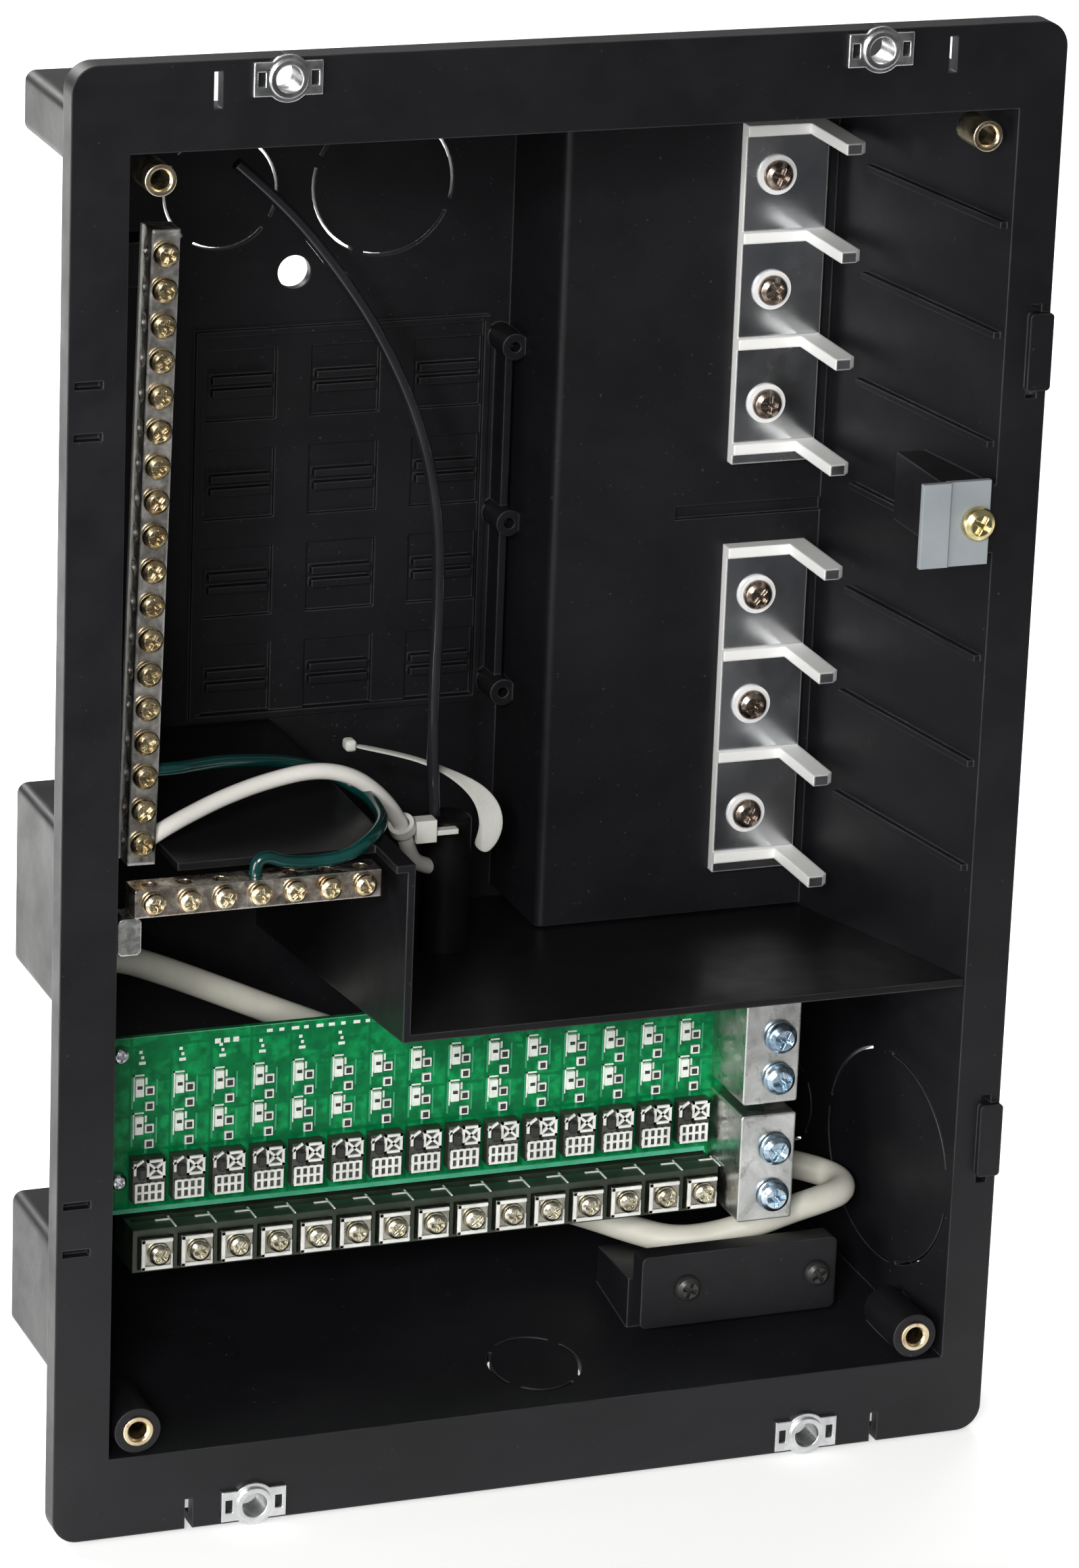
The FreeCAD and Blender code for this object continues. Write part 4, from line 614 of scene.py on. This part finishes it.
def add_board_print(looks):
    """Printed outlines, dashes and tracks on the fuse board."""
    ink = BOARD_FRONT - INK
    white = []
    black = []
    tracks = []
    centres = []
    for x in way_xs():
        for z in GROUP_ZS:
            for rise in PAD_RISES:
                centres.append((x + PAD_X - DOT_HALF, x + PAD_X + DOT_HALF, PAD_FACE - DOT_PROUD,
                                PAD_FACE + DOT_DEEP, z + rise - DOT_HALF, z + rise + DOT_HALF))
            white += frame_boxes(x + OUTLINE_AT[0], z + OUTLINE_AT[1], *OUTLINE_HALF, OUTLINE_LINE, ink,
                                 BOARD_FRONT, "lt")
            white.append(mark(x, z, INNER_MARK, ink, BOARD_FRONT))
            black.append(mark(x, z, LAMP_MARK, LAMP_FACE - LAMP_MARK_T, LAMP_FACE))
            tracks += [mark(x, z, track, ink, BOARD_FRONT) for track in TRACKS]
        if x < STEP_X - DASH_CLEAR:
            for k in range(DASHES):
                drop = DASH_PITCH * k
                white.append((x + DASH_XS[0] + DASH_SHIFTS[0] * (k % 2),
                              x + DASH_XS[1] + DASH_SHIFTS[1] * (k % 3), ink, BOARD_FRONT,
                              DASH_TOP + DASH_ZS[0] - drop, DASH_TOP + DASH_ZS[1] - drop))
        tracks.append(mark(x, GROUP_ZS[1], TRACK_LOW, ink, BOARD_FRONT))
    for k in range(ROW_MARKS):
        x0 = ROW_X0 + ROW_PITCH * k
        white.append((x0, x0 + random.uniform(*ROW_WIDTHS), ink, BOARD_FRONT, BOARD_TOP + ROW_ZS[0],
                      BOARD_TOP + ROW_ZS[1]))
    for k in range(TITLE_MARKS):
        white.append((TITLE_XS[0] + TITLE_PITCH * k, TITLE_XS[1] + TITLE_PITCH * k, ink, BOARD_FRONT,
                      BOARD_TOP + TITLE_ZS[0], BOARD_TOP + TITLE_ZS[1]))
    low_edge = (BOARD_LEFT + EDGE_INSET, EDGE_RIGHT, BOARD_FRONT - EDGE_DEEP, BOARD_FRONT,
                BOARD_LOW + EDGE_ZS[0], BOARD_LOW + EDGE_ZS[1])
    boxes_piece("board_print", white, looks["silk"])
    boxes_piece("lamp_marks", black, looks["dark"])
    boxes_piece("pad_centres", centres, looks["dark"])
    boxes_piece("board_tracks", tracks, looks["trace"])
    boxes_piece("board_low_edge", [low_edge], looks["teal"])


def add_fuse_detail(looks):
    """Contacts, outlines and the dark latch of each fuse holder."""
    metal = []
    crosses = []
    dark = []
    face = BOARD_FRONT - HOLDER_D
    for x in way_xs():
        for k in range(GRID_BARS):
            left = x - GRID_HALF + GRID_PITCH * k
            metal.append((left, left + GRID_LINE, face - GRID_PROUD[0], face, HOLDER_LOW + GRID_ZS[0],
                          HOLDER_LOW + GRID_ZS[1]))
        for k in range(GRID_ROWS):
            low = HOLDER_LOW + GRID_ZS[0] + GRID_ROW_PITCH * k
            metal.append((x - GRID_HALF, x + GRID_HALF, face - GRID_PROUD[1], face, low,
                          low + GRID_ROW_H))
        cross_x, cross_z = x + CROSS_AT[0], HOLDER_TOP + CROSS_AT[1]
        metal += frame_boxes(cross_x, cross_z, *CROSS_FRAME, CROSS_LINE, face - CROSS_PROUD, face)
        crosses.append((cross_x, cross_z, CROSS_HALF, GRID_LINE, CROSS_TURN, face))
        crosses.append((cross_x, cross_z, CROSS_HALF, GRID_LINE, -CROSS_TURN, face))
        crosses.append((x + ARM_AT[0], HOLDER_TOP + ARM_AT[1], ARM_HALF, ARM_LINE, ARM_TURN, face))
        metal.append(mark(x, HOLDER_TOP, ARM_FOOT, face - GRID_PROUD[0], face))
        dark.append(mark(x, HOLDER_TOP, LATCH, face - LATCH_PROUD, face))
    bm = bmesh.new()
    for values in metal:
        add_box(bm, *values)
    for values in crosses:
        add_bar(bm, *values)
    clips = mesh_piece("fuse_contacts", bm, looks["bright_tin"])
    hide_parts("fuse_clips")
    boxes_piece("fuse_latches", dark, looks["dark"], bevel=LATCH_BEVEL)


def add_terminal_detail(looks):
    """Raised bright rims on the terminal plates, and the pale edges of the housing's dividers."""
    rims = []
    ribs = []
    front = TERM_FRONT
    for x in way_xs():
        rims += frame_boxes(x, TERM_Z, TERM_HALF, TERM_HALF, RIM_LINE[0], front - RIM_PROUD[0], front,
                            "ltb")
        rims.append((x + TERM_HALF - RIM_LINE[1], x + TERM_HALF, front - RIM_PROUD[1], front,
                     TERM_Z - TERM_HALF, TERM_Z))
        for xs, ys in zip(RIB_XS, RIB_YS):
            ribs.append((x + xs[0], x + xs[1], TB_FRONT + ys[0], TB_FRONT + ys[1], TB_TOP, TB_TOP + RIB_H))
    boxes_piece("terminal_rims", rims, looks["bright_tin"], bevel=RIM_BEVEL)
    boxes_piece("terminal_ribs", ribs, looks["silk"])


def add_bar_highlight_strip(looks):
    """A thin bright strip along the neutral bar's back edge, a painted highlight for the bright line seen on
    that edge; it leans with the bar.
    """
    bm = bmesh.new()
    ends = []
    for z in (BAR_LOW, BAR_TOP):
        left = BAR_LEFT - (BAR_PIVOT - z) * math.sin(math.radians(BAR_LEAN))
        ends.append([bm.verts.new((left + dx, y, z)) for dx, y in
                     ((BAR_HIGHLIGHT_X[0], BAR_HIGHLIGHT_Y[0]), (BAR_HIGHLIGHT_X[1], BAR_HIGHLIGHT_Y[0]),
                      (BAR_HIGHLIGHT_X[1], BAR_HIGHLIGHT_Y[1]), (BAR_HIGHLIGHT_X[0], BAR_HIGHLIGHT_Y[1]))])
    bm.faces.new(ends[0])
    bm.faces.new(ends[1][::-1])
    for k in range(4):
        bm.faces.new((ends[0][k], ends[1][k], ends[1][(k + 1) % 4], ends[0][(k + 1) % 4]))
    bmesh.ops.scale(bm, vec=(MM, MM, MM), verts=bm.verts)
    mesh_piece("neutral_bar_highlight_strip", bm, looks["bright_tin"])


def add_strap(looks):
    """The wide nylon tie: a thin tail seen edge on, twisting into a broad curl."""
    bm = bmesh.new()
    rows = []
    last = len(STRAP_PATH) - 1
    for i, (x, z, half, turn) in enumerate(STRAP_PATH):
        x0, z0 = STRAP_PATH[max(0, i - 1)][:2]
        x1, z1 = STRAP_PATH[min(last, i + 1)][:2]
        along = Vector((x1 - x0, 0, z1 - z0)).normalized()
        across = Vector((-along.z, 0, along.x))
        side = across * math.sin(turn) + Vector((0, 1, 0)) * math.cos(turn)
        thick = along.cross(side).normalized() * STRAP_T
        middle = Vector((x, STRAP_Y, z))
        ring = [middle + side * half + thick, middle - side * half + thick, middle - side * half - thick,
                middle + side * half - thick]
        rows.append([bm.verts.new(v * MM) for v in ring])
    for a, b in zip(rows, rows[1:]):
        for k in range(4):
            bm.faces.new((a[k], a[(k + 1) % 4], b[(k + 1) % 4], b[k]))
    bm.faces.new(rows[0])
    bm.faces.new(rows[-1][::-1])
    head = [base + step for base, step in zip((STRAP_PATH[0][0], STRAP_PATH[0][0], STRAP_Y, STRAP_Y,
                                               STRAP_PATH[0][1], STRAP_PATH[0][1]), STRAP_HEAD)]
    add_box(bm, *head, bevel=STRAP_HEAD_BEVEL)
    strap = mesh_piece("strap_curl", bm, looks["tie"])
    smooth = strap.modifiers.new("smooth", "SUBSURF")
    smooth.levels = 2
    smooth.render_levels = 2
    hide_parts("cable_tie_wide")


# ---- stage ------------------------------------------------------------------------------------
def add_floor():
    """A floor painted dark grey in front of the box, a painted shade that keeps reflections there dark, and
    pale behind and beside it, where it also glows as a painted light.
    """
    s = Shade("floor_pale", rough=0.9, specular=0.0)
    split = s.add("ShaderNodeSeparateXYZ")
    s.links.new(s.coords.outputs["Object"], split.inputs["Vector"])
    bright = s.remap(split.outputs["Y"], FLOOR_PAINTED_SHADE_Y, FLOOR_PAINTED_LIGHT_Y)
    grain = s.mix(s.remap(s.noise(3, 2), 0.3, 0.7), (0.95, 0.95, 0.95), (0.91, 0.91, 0.91))
    s.finish(s.mix(bright, (0.10, 0.10, 0.105), grain))
    # Painted light: the pale part of the floor glows though it is no lamp.
    glow = s.maths("MULTIPLY", bright, FLOOR_GLOW)
    s.bsdf.inputs["Emission Color"].default_value = (1, 1, 1, 1)
    s.links.new(glow, s.bsdf.inputs["Emission Strength"])
    bm = bmesh.new()
    bmesh.ops.create_grid(bm, x_segments=4, y_segments=4, size=FLOOR_SIZE)
    data = bpy.data.meshes.new("floor")
    bm.to_mesh(data)
    bm.free()
    data.materials.append(s.mat)
    floor = bpy.data.objects.new("floor", data)
    floor.location = (0, 0, CAD_BOX[0][2] - FLOOR_GAP)
    bpy.context.collection.objects.link(floor)


def area_light(name, place, target, size, power, colour=(1, 1, 1), tall=None):
    data = bpy.data.lights.new(name, "AREA")
    data.energy = power
    data.color = colour
    data.size = size
    if tall:
        data.shape = "RECTANGLE"
        data.size_y = tall
    light = bpy.data.objects.new(name, data)
    light.location = place
    light.rotation_euler = (Vector(target) - Vector(place)).to_track_quat("-Z", "Y").to_euler()
    bpy.context.collection.objects.link(light)


def spot_light(name, place, target, angle, power, radius):
    data = bpy.data.lights.new(name, "SPOT")
    data.energy = power
    data.spot_size = math.radians(angle)
    data.spot_blend = SPOT_BLEND
    data.shadow_soft_size = radius
    light = bpy.data.objects.new(name, data)
    light.location = place
    light.rotation_euler = (Vector(target) - Vector(place)).to_track_quat("-Z", "Y").to_euler()
    bpy.context.collection.objects.link(light)


def add_lights():
    world = bpy.data.worlds.new("studio")
    bpy.context.scene.world = world
    world.use_nodes = True
    world.node_tree.nodes["Background"].inputs["Color"].default_value = (1.0, 1.0, 1.0, 1.0)
    world.node_tree.nodes["Background"].inputs["Strength"].default_value = WORLD_LIGHT
    area_light("key", place=(-0.85, -1.60, 0.66), target=(0, 0.04, 0), size=0.55, power=26,
               colour=(1.0, 0.985, 0.96))
    area_light("left_low", place=(-0.85, -0.33, 0.06), target=(0, 0.0, 0), size=0.5, power=5.0, tall=0.40)
    area_light("back_floor", place=(-0.7, 1.3, 1.1), target=(-0.35, 0.6, -0.17), size=0.9, power=42,
               colour=(1.0, 0.985, 0.95))
    spot_light("bus_kick", place=(-0.75, -1.05, 0.62), target=(0.082, 0.06, 0.055), angle=18.0, power=15,
               radius=0.05)
    area_light("top_back", place=(0.3, 0.9, 1.6), target=(0.0, 0.3, 0.0), size=1.2, power=14)


add_camera()
LOOKS = make_materials()
add_cords(LOOKS)
dress_nodes(LOOKS)
add_board_print(LOOKS)
add_fuse_detail(LOOKS)
add_terminal_detail(LOOKS)
add_bar_highlight_strip(LOOKS)
add_strap(LOOKS)
add_floor()
add_lights()
bpy.context.scene.view_settings.view_transform = "Standard"
